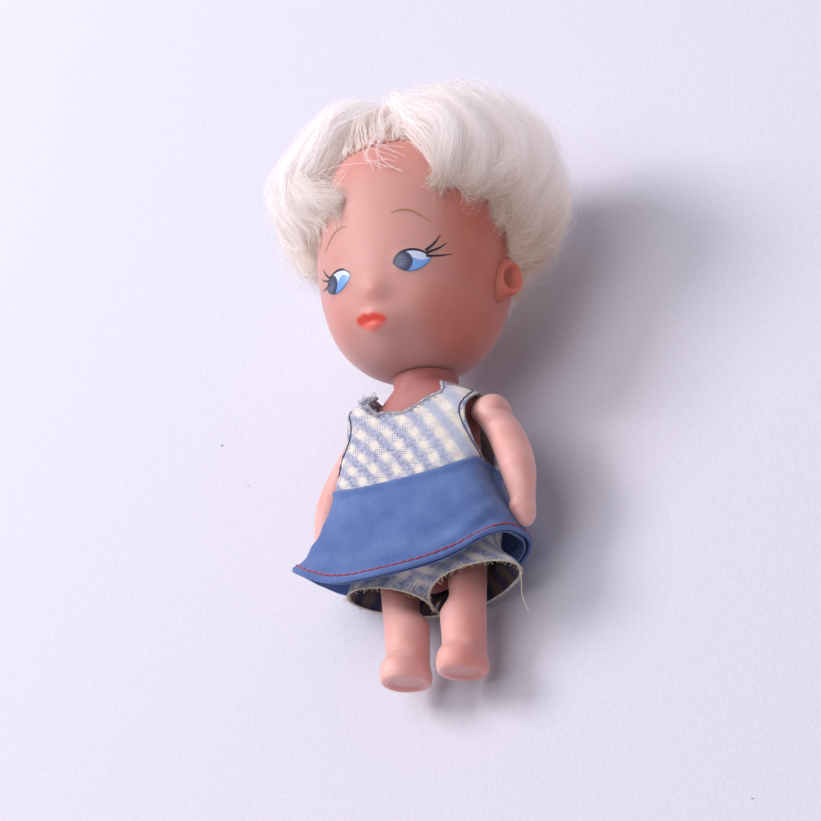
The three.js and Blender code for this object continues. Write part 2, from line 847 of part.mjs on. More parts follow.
// A roll of cloth along a closed path, which binds the edge of an opening.
function edging(places, steps, sides = 4) {
  const path = new THREE.CatmullRomCurve3(places, true);
  const { normals, binormals } = path.computeFrenetFrames(steps, true);
  const points = [];
  for (let step = 0; step < steps; step += 1) {
    const middle = path.getPointAt(step / steps);
    for (let i = 0; i < sides; i += 1) {
      const turn = (fullTurn * i) / sides;
      const point = middle.clone();
      point.addScaledVector(normals[step], edgingRadius * Math.cos(turn));
      points.push(point.addScaledVector(binormals[step], edgingRadius * Math.sin(turn)));
    }
  }
  const faces = [];
  const at = (step, i) => (step % steps) * sides + (i % sides);
  for (let step = 0; step < steps; step += 1) {
    for (let i = 0; i < sides; i += 1) {
      const [a, b] = [at(step, i), at(step + 1, i)];
      const [c, d] = [at(step + 1, i + 1), at(step, i + 1)];
      faces.push([a, c, b], [a, d, c]);
    }
  }
  return geometryOf(points, faces);
}

function necklineEdging() {
  const places = [];
  for (let i = 0; i < 20; i += 1) {
    const angle = (fullTurn * i) / 20;
    const y = necklineHeight(angle) + clearance + edgingRadius;
    places.push(bodiceAt(angle, y, clothThickness / 2));
  }
  return edging(places, 28);
}

// The armhole's roll lies just inside the cut, at the width of the cloth there.
function armholeEdging(side) {
  const inside = clearance + edgingRadius;
  const places = [];
  for (let i = 0; i < 16; i += 1) {
    const turn = (fullTurn * i) / 16;
    const y = armholeCentre + (armholeHalfHeight - inside) * Math.cos(turn);
    const z = (armholeHalfDepth - inside) * Math.sin(turn);
    places.push(new THREE.Vector3(side * clothHalfWidthAt(y, z) - dressShift, y, z));
  }
  return edging(places, 20);
}

function clothHalfWidthAt(y, z) {
  let [front, back] = [0, Math.PI];
  for (let i = 0; i < 30; i += 1) {
    const middle = (front + back) / 2;
    if (bodiceAt(middle, y, clothThickness / 2).z > z) front = middle;
    else back = middle;
  }
  return bodiceAt(front, y, clothThickness / 2).x + dressShift;
}

function bodicePanels() {
  const cloth = bodiceCloth();
  const far = 3 * hipHalfWidth;
  const seam = clearance / 2;
  const front = cloth.intersect(boxBetween([-far, -far, seam], [far, far, far]));
  const back = cloth.intersect(boxBetween([-far, -far, -far], [far, far, -seam]));
  const leftSide = boxBetween([seam, -far, -far], [far, far, far]);
  const rightSide = boxBetween([-far, -far, -far], [-seam, far, far]);
  return [front, back.intersect(leftSide), back.intersect(rightSide)];
}

// The skirt band's outer face, from its seam down to the hem, which hangs to the doll's right.
function bandPoint(angle, share, inset) {
  const top = -level(angle, bandSeamDrop, bandSeamSideDrop) - clearance / 2;
  const bottom = -level(angle, hemDrop, hemSideDrop, hemBackDrop);
  const y = mix(top, bottom, share);
  const spread = share ** 1.3;
  const ripple = 0.25 * share * Math.cos(7 * angle);
  const point = round(
    angle,
    y,
    mix(bandTopHalfWidth, hemHalfWidth, spread) - inset,
    mix(bandTopDepth, hemFrontDepth + ripple, share) - inset,
    mix(bandTopDepth, hemBackDepth + 0.4, share) - inset,
  );
  point.x -= hemShift * share ** 3;
  return keepAboveTable(point, inset);
}

function skirtPanel(from, to) {
  const seam = clearance / (2 * bandTopHalfWidth);
  const angle = (u) => mix(from * degree + seam, to * degree - seam, u);
  const face = (inset) => (u, v) => bandPoint(angle(1 - u), v, inset);
  return sheet(face(0), face(clothThickness), 14, 5);
}

// The hem is turned up once inside the band and stitched.
function hemFold() {
  const start = clothThickness + clearance;
  const foldShare = hemFoldHeight / (hemDrop - bandSeamDrop);
  const face = (inset) => (u, v) => bandPoint(-fullTurn * u, 1 - (1 - v) * foldShare, inset);
  return sheet(face(start), face(start + clothThickness), 32, 1, true);
}


// The bloomers stand off the torso by the elastic that gathers their waist.
const elasticStandoff = clearance;
const bloomersStandoff = elasticStandoff + elasticThickness + clearance + clothThickness;

// Half of the bloomers: a panel from the centre front round the hip to the centre back, whose
// edges run in under the crotch and meet at the inseam of its leg.
function bloomersPoint(side, u, v, inset) {
  const seam = clearance / 2;
  const y = bloomersHeight(u, v);
  const level = Math.max(y, -hipDrop + 2);
  const halfWidth = torsoHalfWidth(level) + bloomersStandoff - inset;
  const depth = (u < 0.5 ? torsoFront(level) : torsoBack(level)) + bloomersStandoff - inset;
  const hip = Math.PI * u;
  const power = 2 / torsoSquareness;
  const upper = [
    seam + (halfWidth - seam) * signedPower(Math.sin(hip), power),
    depth * signedPower(Math.cos(hip), power),
  ];
  const around = mix(-quarterTurn + 0.04, 3 * quarterTurn - 0.04, u);
  const middle = (legOpeningFront - legOpeningBack) / 2;
  const halfDepth = (legOpeningFront + legOpeningBack) / 2 - inset;
  const lower = [
    seam + 0.4 + legOpeningHalfWidth + (legOpeningHalfWidth - inset) * Math.sin(around),
    middle + halfDepth * Math.cos(around),
  ];
  const tube = smooth(0.7, 1, v);
  const x = mix(upper[0], lower[0], tube);
  return new THREE.Vector3(side * x, y, mix(upper[1], lower[1], tube));
}

function bloomersHeight(u, v) {
  const opening = mix(legOpeningFrontDrop, legOpeningBackDrop, u);
  const rim = mix(inseamDrop, opening, Math.sin(Math.PI * u));
  return -mix(waistbandDrop, rim, v);
}

function bloomersPanel(side) {
  const along = (u) => (side > 0 ? 1 - u : u);
  const face = (inset) => (u, v) => bloomersPoint(side, along(u), v, inset);
  return sheet(face(0), face(clothThickness), 16, 8);
}

function legOpeningEdging(side) {
  const places = [];
  for (let i = 0; i < 14; i += 1) {
    const place = bloomersPoint(side, (i + 0.5) / 14, 1, clothThickness / 2);
    place.y -= clearance + edgingRadius;
    places.push(keepAboveTable(place, edgingRadius));
  }
  return edging(places, 20);
}

function waistElastic() {
  const face = (offset) => (u, v) => {
    const angle = -fullTurn * u;
    const y = -waistbandDrop - clearance - v * elasticHeight;
    const depth = (Math.cos(angle) > 0 ? torsoFront(y) : torsoBack(y)) + offset;
    const power = 2 / torsoSquareness;
    return new THREE.Vector3(
      (torsoHalfWidth(y) + offset) * signedPower(Math.sin(angle), power),
      y,
      depth * signedPower(Math.cos(angle), power),
    );
  };
  const outside = elasticStandoff + elasticThickness;
  return sheet(face(outside), face(elasticStandoff), 28, 1, true);
}

// The back opening: a strip behind the panels' edges, and a snap between the strip and them.
const socketTop = bodiceBackDepth(-snapDrop) - clothThickness - clearance;
const studTop = socketTop - socketThickness - clearance;
const placketTop = studTop - studThickness - clearance;

function placketStrip() {
  const face = (inset) => (u, v) =>
    new THREE.Vector3(
      mix(-placketHalfWidth, placketHalfWidth, u),
      -mix(placketTopDrop, placketTopDrop + placketLength, v),
      -(placketTop - inset),
    );
  return sheet(face(0), face(clothThickness), 2, 2);
}

// A turned piece of the snap, whose axis runs out of the back.
function snapPiece(outline, depth) {
  const points = outline.map(([r, rise]) => new THREE.Vector2(r, rise));
  const turned = new THREE.LatheGeometry(points, 20);
  turned.rotateX(-quarterTurn);
  turned.translate(0, -snapDrop, -depth);
  return manifoldOf(turned);
}

function snapSocket() {
  const bore = snapPinRadius + clearance;
  const outline = [
    [bore, 0],
    [snapRadius, 0],
    [snapRadius, socketThickness * 0.6],
    [snapRadius - 0.4, socketThickness],
    [bore, socketThickness],
    [bore, 0],
  ];
  return snapPiece(outline, socketTop - socketThickness);
}

function snapStud() {
  const pin = studThickness + socketThickness;
  const outline = [
    [0, 0],
    [snapRadius, 0],
    [snapRadius, studThickness],
    [snapPinRadius, studThickness],
    [snapPinRadius, pin],
    [0, pin],
  ];
  return snapPiece(outline, studTop - studThickness);
}

const doll = new THREE.Group();
doll.add(piece("head_shell", headShell(), skinColour, 0.5));
doll.add(piece("torso_shell", torsoShell(), torsoColour, 0.5));
doll.add(piece("left_arm", arm(left), skinColour, 0.5));
doll.add(piece("right_arm", arm(right), skinColour, 0.5));
doll.add(piece("left_leg", leg(left), skinColour, 0.5));
doll.add(piece("right_leg", leg(right), skinColour, 0.5));

// Partings of the hair from the crown to the tips: latitude and azimuth in degrees, and the
// height over the scalp as a share of the full height.
const parting = {
  rightFringe: [
    [62, -7, 0.45], [50, -22, 0.4], [38, -34, 0.4],
    [23, -37, 0.48], [11, -29, 0.33], [4, -18, 0.12],
  ],
  rightCurl: [
    [62, -34, 0.55], [50, -50, 0.88], [34, -62, 1],
    [18, -62, 0.83], [6, -55, 0.43], [1, -45, 0.12],
  ],
  rightTemple: [
    [62, -66, 0.55], [50, -76, 0.95], [33, -82, 1.08],
    [16, -83, 0.95], [4, -80, 0.5], [0, -75, 0.12],
  ],
  rightEar: [
    [62, -95, 0.55], [50, -98, 0.95], [32, -101, 1.1],
    [14, -103, 1], [0, -102, 0.6], [-6, -99, 0.15],
  ],
  rightBack: [
    [62, -120, 0.55], [48, -121, 0.9], [30, -122, 1],
    [13, -121, 0.9], [-1, -120, 0.55], [-9, -118, 0.15],
  ],
  rightNape: [
    [62, -150, 0.55], [46, -150, 0.8], [27, -150, 0.86],
    [9, -150, 0.8], [-5, -150, 0.4], [-12, -149, 0.12],
  ],
  nape: [
    [62, -180, 0.55], [46, -180, 0.77], [27, -180, 0.8],
    [8, -180, 0.8], [-9, -180, 0.55], [-18, -180, 0.12],
  ],
  leftNape: [
    [62, 150, 0.55], [46, 150, 0.8], [27, 150, 0.86],
    [9, 150, 0.8], [-5, 150, 0.38], [-12, 149, 0.12],
  ],
  leftBack: [
    [62, 120, 0.6], [48, 121, 0.98], [30, 122, 1.1],
    [13, 121, 1], [-1, 120, 0.6], [-9, 118, 0.15],
  ],
  leftEar: [
    [62, 97, 0.6], [50, 99, 1.02], [32, 102, 1.2],
    [13, 104, 1.15], [-2, 104, 0.65], [-7, 103, 0.16],
  ],
  leftTemple: [
    [62, 68, 0.55], [50, 76, 0.98], [33, 82, 1.12],
    [17, 85, 1], [4, 87, 0.55], [1, 87, 0.12],
  ],
  leftRoll: [
    [62, 40, 0.5], [50, 54, 0.82], [35, 64, 0.98],
    [20, 69, 0.88], [8, 72, 0.45], [6, 72, 0.12],
  ],
  leftCurl: [
    [62, 24, 0.5], [49, 36, 0.75], [34, 47, 0.9],
    [19, 55, 0.8], [7, 60, 0.42], [5, 61, 0.12],
  ],
  leftFringe: [
    [62, 7, 0.45], [50, 17, 0.45], [36, 27, 0.5],
    [20, 34, 0.5], [9, 41, 0.32], [4, 45, 0.12],
  ],
};
const centreBack = parting.nape.map(([latitude, azimuth, share]) => [latitude, -azimuth, share]);

// The locks between the partings, from the doll's right to its left.
const locks = {
  hair_back_right: [parting.nape, parting.rightNape, parting.rightBack],
  hair_side_right: [parting.rightBack, parting.rightEar, parting.rightTemple],
  hair_front_right: [parting.rightTemple, parting.rightCurl, parting.rightFringe],
  hair_front_left: [parting.leftFringe, parting.leftCurl, parting.leftRoll, parting.leftTemple],
  hair_side_left: [parting.leftTemple, parting.leftEar, parting.leftBack],
  hair_back_left: [parting.leftBack, parting.leftNape, centreBack],
};
for (const [name, partings] of Object.entries(locks)) {
  doll.add(piece(name, lock(partings), hairColour, 0.45));
}
doll.add(piece("hair_crown", crownLock(), hairColour, 0.45));

// A thin veil of hair rises from the hairline between the two front locks.
const veil = [-25, 0, 20].map((azimuth) => [
  [61.5, azimuth * 0.15, 0.45],
  [52, azimuth * 0.6, 0.33],
  [43, azimuth * 0.9, 0.2],
  [hairlineLatitude, azimuth, 0.06],
]);
doll.add(piece("hair_hairline", lock(veil, 8, 5), hairColour, 0.45));

const [bodiceFront, bodiceBackLeft, bodiceBackRight] = bodicePanels();
doll.add(piece("bodice_front", bodiceFront, ginghamColour, 0.9));
doll.add(piece("bodice_back_left", bodiceBackLeft, ginghamColour, 0.9));
doll.add(piece("bodice_back_right", bodiceBackRight, ginghamColour, 0.9));
doll.add(piece("skirt_band_front", skirtPanel(-90, 90), bandColour, 0.9));
doll.add(piece("skirt_band_back_left", skirtPanel(90, 180), bandColour, 0.9));
doll.add(piece("skirt_band_back_right", skirtPanel(180, 270), bandColour, 0.9));
doll.add(piece("skirt_hem_fold", hemFold(), bandColour, 0.9));
doll.add(piece("neckline_edging", necklineEdging(), edgingColour, 0.9));
doll.add(piece("back_placket", placketStrip(), ginghamColour, 0.9));
doll.add(piece("snap_socket", snapSocket(), snapColour, 0.35, 0.9));
doll.add(piece("snap_stud", snapStud(), snapColour, 0.35, 0.9));
doll.add(piece("waist_elastic", waistElastic(), elasticColour, 0.8));
for (const [word, side] of [["left", left], ["right", right]]) {
  doll.add(piece(`${word}_armhole_edging`, armholeEdging(side), edgingColour, 0.9));
  doll.add(piece(`bloomers_${word}_panel`, bloomersPanel(side), ginghamColour, 0.9));
  doll.add(piece(`bloomers_${word}_edging`, legOpeningEdging(side), creamColour, 0.9));
}

// Laid on the table: the box of the whole doll stands on its bottom centre.
doll.rotation.x = recline;
const part = new THREE.Group();
part.add(doll);
part.updateMatrixWorld(true);
const extent = new THREE.Box3().setFromObject(part, true);
const footprint = extent.getCenter(new THREE.Vector3());
doll.position.set(-footprint.x, -footprint.y, -extent.min.z);

export default part;
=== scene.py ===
import json
import math

import bpy
import numpy as np
from mathutils import Matrix, Vector


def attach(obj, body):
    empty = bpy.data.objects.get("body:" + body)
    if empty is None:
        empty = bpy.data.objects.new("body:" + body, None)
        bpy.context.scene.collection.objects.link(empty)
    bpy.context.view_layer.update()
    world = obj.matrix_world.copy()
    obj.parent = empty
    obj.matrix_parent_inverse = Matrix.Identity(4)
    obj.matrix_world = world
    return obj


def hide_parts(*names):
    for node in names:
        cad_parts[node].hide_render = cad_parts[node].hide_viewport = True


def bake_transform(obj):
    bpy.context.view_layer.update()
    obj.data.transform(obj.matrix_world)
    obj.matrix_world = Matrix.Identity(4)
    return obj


# A miniature vinyl doll lying on its back. Shapes are worked out in millimetres in the doll's
# own body frame, +X to its left, +Y up its spine and +Z out of its chest, from the base of its
# neck, and are then laid down with the CAD model's recline.
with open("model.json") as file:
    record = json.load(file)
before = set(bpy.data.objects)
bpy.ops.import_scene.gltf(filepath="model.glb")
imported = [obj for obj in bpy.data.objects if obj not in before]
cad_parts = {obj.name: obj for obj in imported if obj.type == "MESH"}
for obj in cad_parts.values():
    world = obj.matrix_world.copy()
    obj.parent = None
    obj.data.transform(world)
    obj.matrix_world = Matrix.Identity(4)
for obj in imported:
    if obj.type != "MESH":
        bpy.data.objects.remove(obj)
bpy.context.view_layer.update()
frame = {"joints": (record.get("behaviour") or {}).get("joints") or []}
rng = np.random.default_rng(11)

LEFT, RIGHT = 1, -1
SIDE_NAME = {LEFT: "left", RIGHT: "right"}
TURN = 2 * math.pi
DEGREE = math.pi / 180

joints = {joint["name"]: joint for joint in frame["joints"]}
ORIGIN = np.array(joints["neck_turn"]["pos_m"], float)
SPINE = np.array(joints["neck_turn"]["axis"], float)
ACROSS = np.array([1.0, 0.0, 0.0])
CHEST = np.cross(ACROSS, SPINE)
AXES = np.stack([ACROSS, SPINE, CHEST])


def to_row(points):
    """Points of the body frame, in millimetres, in the row frame, in metres."""
    return ORIGIN + np.asarray(points, float) @ AXES / 1000


def above_table(points, height=0.0):
    """Lifts the points that would be lower than a height over the table, in millimetres."""
    short = height - (ORIGIN[2] * 1000 + points @ AXES[:, 2])
    return points + np.maximum(short, 0)[..., None] * AXES[:, 2]


# Sizes of the CAD model, in millimetres.
HEAD_HALF_WIDTH, FACE_DEPTH, BACK_DEPTH, HEAD_FORWARD = 14.3, 13.1, 16.0, 2.4
JAW, TEMPLE_RISE, CROWN_RISE = 1.8, 22.2, 17.1
JAW_FULLNESS, CROWN_FULLNESS, NAPE_TUCK = 2.7, 2.1, 0.1
HEAD_MIDDLE = JAW + TEMPLE_RISE
HEAD_CENTRE = np.array([0, HEAD_MIDDLE, HEAD_FORWARD])
NOSE_LEVEL, EYE_LEVEL, EYE_OFFSET = 9.6, 13.6, 6.2
EAR_LEVEL, EAR_HALF_HEIGHT, EAR_HALF_WIDTH, EAR_AZIMUTH, EAR_UNEVENNESS = 13.4, 3.1, 1.9, 103, 8
NECK_RADIUS = 4.6
SHOULDER_DROP, HIP_DROP, HIP_DISC = 6.4, 26.0, 4.2
SHOULDER_RECESS, SHOULDER_DISC, ARM_LENGTH = 7.2, 3.1, 17.9
UPPER_ARM, WRIST, ARM_BOW = 2.7, 1.75, 1.6
LEFT_ARM_SPREAD, RIGHT_ARM_SPREAD = 14, 25
HIP_RECESS, LEG_LENGTH, LEG_RADIUS, LEG_OFFSET = 2.7, 17.0, 3.15, 4.4
TOE_PROUD = 1.5
CLEARANCE = 0.3
CLOTH = 0.45


def smooth(start, end, value):
    t = np.clip((np.asarray(value, float) - start) / (end - start), 0, 1)
    return t * t * (3 - 2 * t)


def mix(a, b, share):
    return a + (b - a) * share


def bump(distance, spread):
    return np.exp(-((distance / spread) ** 2))


def signed_power(value, power):
    return np.sign(value) * np.abs(value) ** power


def curve_through(stations):
    """A smooth curve through (place, value) stations that never overshoots one."""
    x, y = np.array(sorted(stations), float).T
    rise = np.diff(y) / np.diff(x)
    before = np.concatenate([rise[:1], rise])
    after = np.concatenate([rise, rise[-1:]])
    total = np.where(before * after > 0, before + after, 1)
    slope = np.where(before * after > 0, 2 * before * after / total, 0)

    def at(place):
        place = np.clip(np.asarray(place, float), x[0], x[-1])
        i = np.clip(np.searchsorted(x, place, side="right") - 1, 0, len(x) - 2)
        width = x[i + 1] - x[i]
        t = (place - x[i]) / width
        return (
            y[i] * (1 + 2 * t) * (1 - t) ** 2
            + slope[i] * width * t * (1 - t) ** 2
            + y[i + 1] * t * t * (3 - 2 * t)
            - slope[i + 1] * width * t * t * (1 - t)
        )

    return at


def spline(control, t):
    """Catmull-Rom through control points along the first axis, at values of t from 0 to 1."""
    control = np.asarray(control, float)
    last = len(control) - 1
    place = np.clip(np.asarray(t, float), 0, 1) * last
    i = np.minimum(place.astype(int), last - 1)
    f = (place - i).reshape(-1, *([1] * (control.ndim - 1)))
    a, b, c, d = (control[np.clip(i + k, 0, last)] for k in (-1, 0, 1, 2))
    return 0.5 * (
        2 * b + (c - a) * f + (2 * a - 5 * b + 4 * c - d) * f**2 + (3 * b - a - 3 * c + d) * f**3
    )


# Meshes.
def new_object(name, points, faces, material, uv=None, paint=None):
    """A mesh object from body-frame points and one array of faces, or a list of them; uv and
    paint are given for each point."""
    groups = faces if isinstance(faces, list) else [faces]
    corners = np.concatenate([group.ravel() for group in groups]).astype(np.int32)
    sizes = np.concatenate([np.full(len(group), group.shape[1], np.int32) for group in groups])
    mesh = bpy.data.meshes.new(name)
    mesh.vertices.add(len(points))
    mesh.vertices.foreach_set("co", to_row(points).astype(np.float32).ravel())
    mesh.loops.add(len(corners))
    mesh.loops.foreach_set("vertex_index", corners)
    mesh.polygons.add(len(sizes))
    mesh.polygons.foreach_set("loop_start", (np.cumsum(sizes) - sizes).astype(np.int32))
    mesh.update(calc_edges=True)
    if uv is not None:
        layer = mesh.uv_layers.new(name="cloth")
        layer.data.foreach_set("uv", np.asarray(uv, np.float32)[corners].ravel())
    if paint is not None:
        colours = np.ones((len(points), 4), np.float32)
        colours[:, :3] = paint
        layer = mesh.color_attributes.new(name="paint", type="FLOAT_COLOR", domain="POINT")
        layer.data.foreach_set("color", colours.ravel())
    mesh.validate()
    mesh.polygons.foreach_set("use_smooth", [True] * len(mesh.polygons))
    mesh.materials.append(material)
    made = bpy.data.objects.new(name, mesh)
    bpy.context.scene.collection.objects.link(made)
    return made


def grid_axes(columns, rows, start=0.0, end=1.0):
    """Places over a grid: across it from start to end, and down it from 0 to 1."""
    return np.meshgrid(np.linspace(start, end, columns + 1), np.linspace(0, 1, rows + 1))


def grid_faces(columns, rows, closed=False):
    """Quads over a grid of rows + 1 lines of points, which closes on itself if asked."""
    across = columns if closed else columns + 1
    i, j = (index.ravel() for index in np.meshgrid(np.arange(columns), np.arange(rows)))
    a, b = j * across + i, j * across + (i + 1) % across
    return np.stack([a, b, b + across, a + across], axis=1)


def closed_loft(rings, ends=None):
    """Points and faces of a closed solid through rings, with a point at each end."""
    count, sides = len(rings), len(rings[0])
    if ends is None:
        ends = rings[0].mean(0), rings[-1].mean(0)
    k = np.arange(sides)
    after = (k + 1) % sides
    first, base = count * sides, (count - 1) * sides
    low = np.stack([np.full(sides, first), after, k], axis=1)
    high = np.stack([np.full(sides, first + 1), base + k, base + after], axis=1)
    walls = grid_faces(sides, count - 1, closed=True)
    return np.concatenate([*rings, np.array(ends)]), [walls, np.concatenate([low, high])]


def thicken(made, thickness, lining=None):
    """Gives a sheet its thickness, inwards from the face that was modelled."""
    solid = made.modifiers.new("thickness", "SOLIDIFY")
    solid.thickness = thickness / 1000
    solid.offset = -1
    solid.use_even_offset = lining is None
    if lining:
        made.data.materials.append(lining)
        solid.material_offset = 1
    with bpy.context.temp_override(object=made, active_object=made, selected_objects=[made]):
        bpy.ops.object.modifier_apply(modifier=solid.name)


def cloth_uv(points):
    """Distances along a cloth grid, in millimetres, from its middle column."""
    steps = [np.diff(points, axis=axis, prepend=points.take([0], axis)) for axis in (1, 0)]
    along, down = (np.cumsum(np.linalg.norm(step, axis=2), axis=axis) for step, axis in zip(steps, (1, 0)))
    middle = points.shape[1] // 2
    return np.stack([along - along[:, middle : middle + 1], down], axis=-1).reshape(-1, 2)


def cloth_object(name, points, material, thickness, flip=False, lining=None):
    """A sheet of cloth over a grid of points, with its threads along the grid."""
    faces = grid_faces(points.shape[1] - 1, points.shape[0] - 1)
    if flip:
        faces = faces[:, ::-1]
    made = new_object(name, points.reshape(-1, 3), faces, material, uv=cloth_uv(points))
    thicken(made, thickness, lining)
    return made


def unit(vectors):
    return vectors / np.maximum(np.linalg.norm(vectors, axis=-1, keepdims=True), 1e-9)


def tube(path, radius, sides=10, closed=False):
    """Points and quads of a tube along a path; radius is one number or one for each point."""
    path = np.asarray(path, float)
    count = len(path)
    if closed:
        tangent = unit(np.roll(path, -1, axis=0) - np.roll(path, 1, axis=0))
    else:
        tangent = unit(np.gradient(path, axis=0))
    normal = np.zeros_like(path)
    reference = np.array([0.3, 0.2, 0.93])
    for k in range(count):
        reference = unit(reference - tangent[k] * (reference @ tangent[k]))
        normal[k] = reference
    other = np.cross(tangent, normal)
    radius = np.broadcast_to(np.asarray(radius, float), (count,))
    turn = (np.arange(sides) * TURN / sides)[None, :, None]
    ring = normal[:, None] * np.cos(turn) + other[:, None] * np.sin(turn)
    points = path[:, None] + ring * radius[:, None, None]
    faces = grid_faces(sides, count if closed else count - 1, closed=True) % (count * sides)
    return points.reshape(-1, 3), faces


def merged(parts):
    """One mesh from several (points, faces)."""
    points, faces, count = [], [], 0
    for part_points, part_faces in parts:
        points.append(part_points)
        faces.append(part_faces + count)
        count += len(part_points)
    return np.concatenate(points), np.concatenate(faces)


# Materials.
def linear(red, green, blue):
    """A colour given in 0 to 255 as a picture shows it, as linear light."""
    values = np.array([red, green, blue]) / 255
    low = values / 12.92
    high = ((values + 0.055) / 1.055) ** 2.4
    return tuple(float(v) for v in np.where(values <= 0.04045, low, high)) + (1.0,)


class Nodes:
    """Makes and links the nodes of one material."""

    def __init__(self, tree):
        self.tree = tree

    def node(self, kind):
        return self.tree.nodes.new("ShaderNode" + kind)

    def link(self, output, slot):
        self.tree.links.new(output, slot)

    def split(self, vector):
        """The three numbers of a vector or a colour."""
        node = self.node("SeparateXYZ")
        self.link(vector, node.inputs[0])
        return [Field(self.tree, output) for output in node.outputs]


class Field(Nodes):
    """A number that varies over a surface, made of Math nodes."""

    def __init__(self, tree, socket):
        super().__init__(tree)
        self.socket = socket

    def math(self, operation, *others):
        node = self.node("Math")
        node.operation = operation
        self.link(self.socket, node.inputs[0])
        for slot, other in enumerate(others, 1):
            if isinstance(other, Field):
                self.link(other.socket, node.inputs[slot])
            else:
                node.inputs[slot].default_value = other
        return Field(self.tree, node.outputs[0])

    def __add__(self, other):
        return self.math("ADD", other)

    def __sub__(self, other):
        return self.math("SUBTRACT", other)

    def __mul__(self, other):
        return self.math("MULTIPLY", other)

    def sine(self):
        return self.math("SINE")

    def between(self, low, high):
        """0 below low and 1 above high, smooth in between."""
        node = self.node("MapRange")
        node.interpolation_type = "SMOOTHSTEP"
        self.link(self.socket, node.inputs["Value"])
        node.inputs["From Min"].default_value = low
        node.inputs["From Max"].default_value = high
        return Field(self.tree, node.outputs["Result"])

    def blend(self, first, second):
        """A colour that goes from first to second as the field goes from 0 to 1."""
        node = self.node("Mix")
        node.data_type = "RGBA"
        self.link(self.socket, node.inputs["Factor"])
        for name, colour in (("A", first), ("B", second)):
            slot = [s for s in node.inputs if s.name == name and s.type == "RGBA"][0]
            if isinstance(colour, bpy.types.NodeSocket):
                self.link(colour, slot)
            else:
                slot.default_value = colour
        return [s for s in node.outputs if s.type == "RGBA"][0]


class Surface(Nodes):
    """A Principled material whose textures are measured in millimetres."""

    def __init__(self, name, **values):
        self.material = bpy.data.materials.new(name)
        self.material.use_nodes = True
        super().__init__(self.material.node_tree)
        self.shader = self.tree.nodes["Principled BSDF"]
        for key, value in values.items():
            self.shader.inputs[key.replace("_", " ")].default_value = value
        coordinates = self.node("TexCoord")
        scale = self.node("VectorMath")
        scale.operation = "SCALE"
        scale.inputs["Scale"].default_value = 1000
        self.link(coordinates.outputs["Object"], scale.inputs[0])
        self.place = scale.outputs[0]

    def noise(self, size, detail=3, roughness=0.5):
        """Noise from 0 to 1 whose blotches are about that size, in millimetres."""
        node = self.node("TexNoise")
        node.inputs["Scale"].default_value = 1 / size
        node.inputs["Detail"].default_value = detail
        node.inputs["Roughness"].default_value = roughness
        self.link(self.place, node.inputs["Vector"])
        return Field(self.tree, node.outputs[0])

    def cloth_axes(self, turn):
        """The two directions of the cloth's UV map, in millimetres, turned by an angle."""
        uv = self.node("UVMap")
        uv.uv_map = "cloth"
        mapping = self.node("Mapping")
        mapping.inputs["Rotation"].default_value = (0, 0, turn)
        self.link(uv.outputs[0], mapping.inputs["Vector"])
        return self.split(mapping.outputs["Vector"])[:2]

    def painted(self):
        """The three channels of the mesh's paint attribute, and its colour."""
        node = self.node("Attribute")
        node.attribute_name = "paint"
        return self.split(node.outputs["Color"]), node.outputs["Color"]

    def colour(self, socket):
        self.link(socket, self.shader.inputs["Base Color"])

    def set(self, name, field):
        self.link(field.socket, self.shader.inputs[name])

    def relief(self, height, depth):
        """Bump from a field; depth is in millimetres."""
        node = self.node("Bump")
        node.inputs["Distance"].default_value = depth / 1000
        self.link(height.socket, node.inputs["Height"])
        self.link(node.outputs[0], self.shader.inputs["Normal"])


def skin_material(name, light, deep, painted_light=None):
    """Soft vinyl: light scatters in it, with faint blotches and a fine moulded grain. It may
    be painted paler on the doll's right, where the window's light falls: painted light."""
    skin = Surface(
        name,
        Subsurface_Weight=0.6,
        Subsurface_Radius=(1.0, 0.3, 0.18),
        Subsurface_Scale=0.002,
        Specular_IOR_Level=0.4,
        Sheen_Weight=0.3,
        Sheen_Roughness=0.4,
        Sheen_Tint=(0.94, 0.92, 1.0, 1.0),
    )
    (lips, blush_and_shade, specks), _ = skin.painted()
    blotches = skin.noise(3.5, detail=4)
    base = blotches.between(0.2, 0.8).blend(light, deep)
    # Painted light: the doll's right, which faces the window, is painted paler.
    if painted_light:
        across, up, _ = skin.split(skin.place)
        paler = (across + up.between(8.0, 0.0) * 5.0).between(13.0, 7.0)
        base = paler.blend(base, painted_light)
    # Painted shade as well as paint: the blush channel also reddens the skin under the hair, the ear's hollow
    # and the legs' shaded parts, and the specks channel also darkens the ear's hollow, the rooting holes and
    # the legs' tops inside the bloomers.
    base = (blush_and_shade * 0.35).blend(base, linear(216, 128, 116))
    base = (specks * 0.6).blend(base, linear(120, 66, 56))
    lip_colour = blush_and_shade.between(0, 1).blend(linear(212, 54, 34), linear(224, 104, 90))
    base = (lips * 0.92).blend(base, lip_colour)
    skin.colour(base)
    grain = skin.noise(0.16, detail=2)
    skin.relief(grain + blotches * 2, 0.02)
    skin.set("Roughness", grain * 0.1 + 0.45)
    return skin.material


def paint_material():
    """Brushed enamel, coloured by the mesh."""
    paint = Surface("face_paint", Roughness=0.35)
    _, colour = paint.painted()
    paint.colour(colour)
    paint.relief(paint.noise(0.09, detail=2), 0.006)
    return paint.material


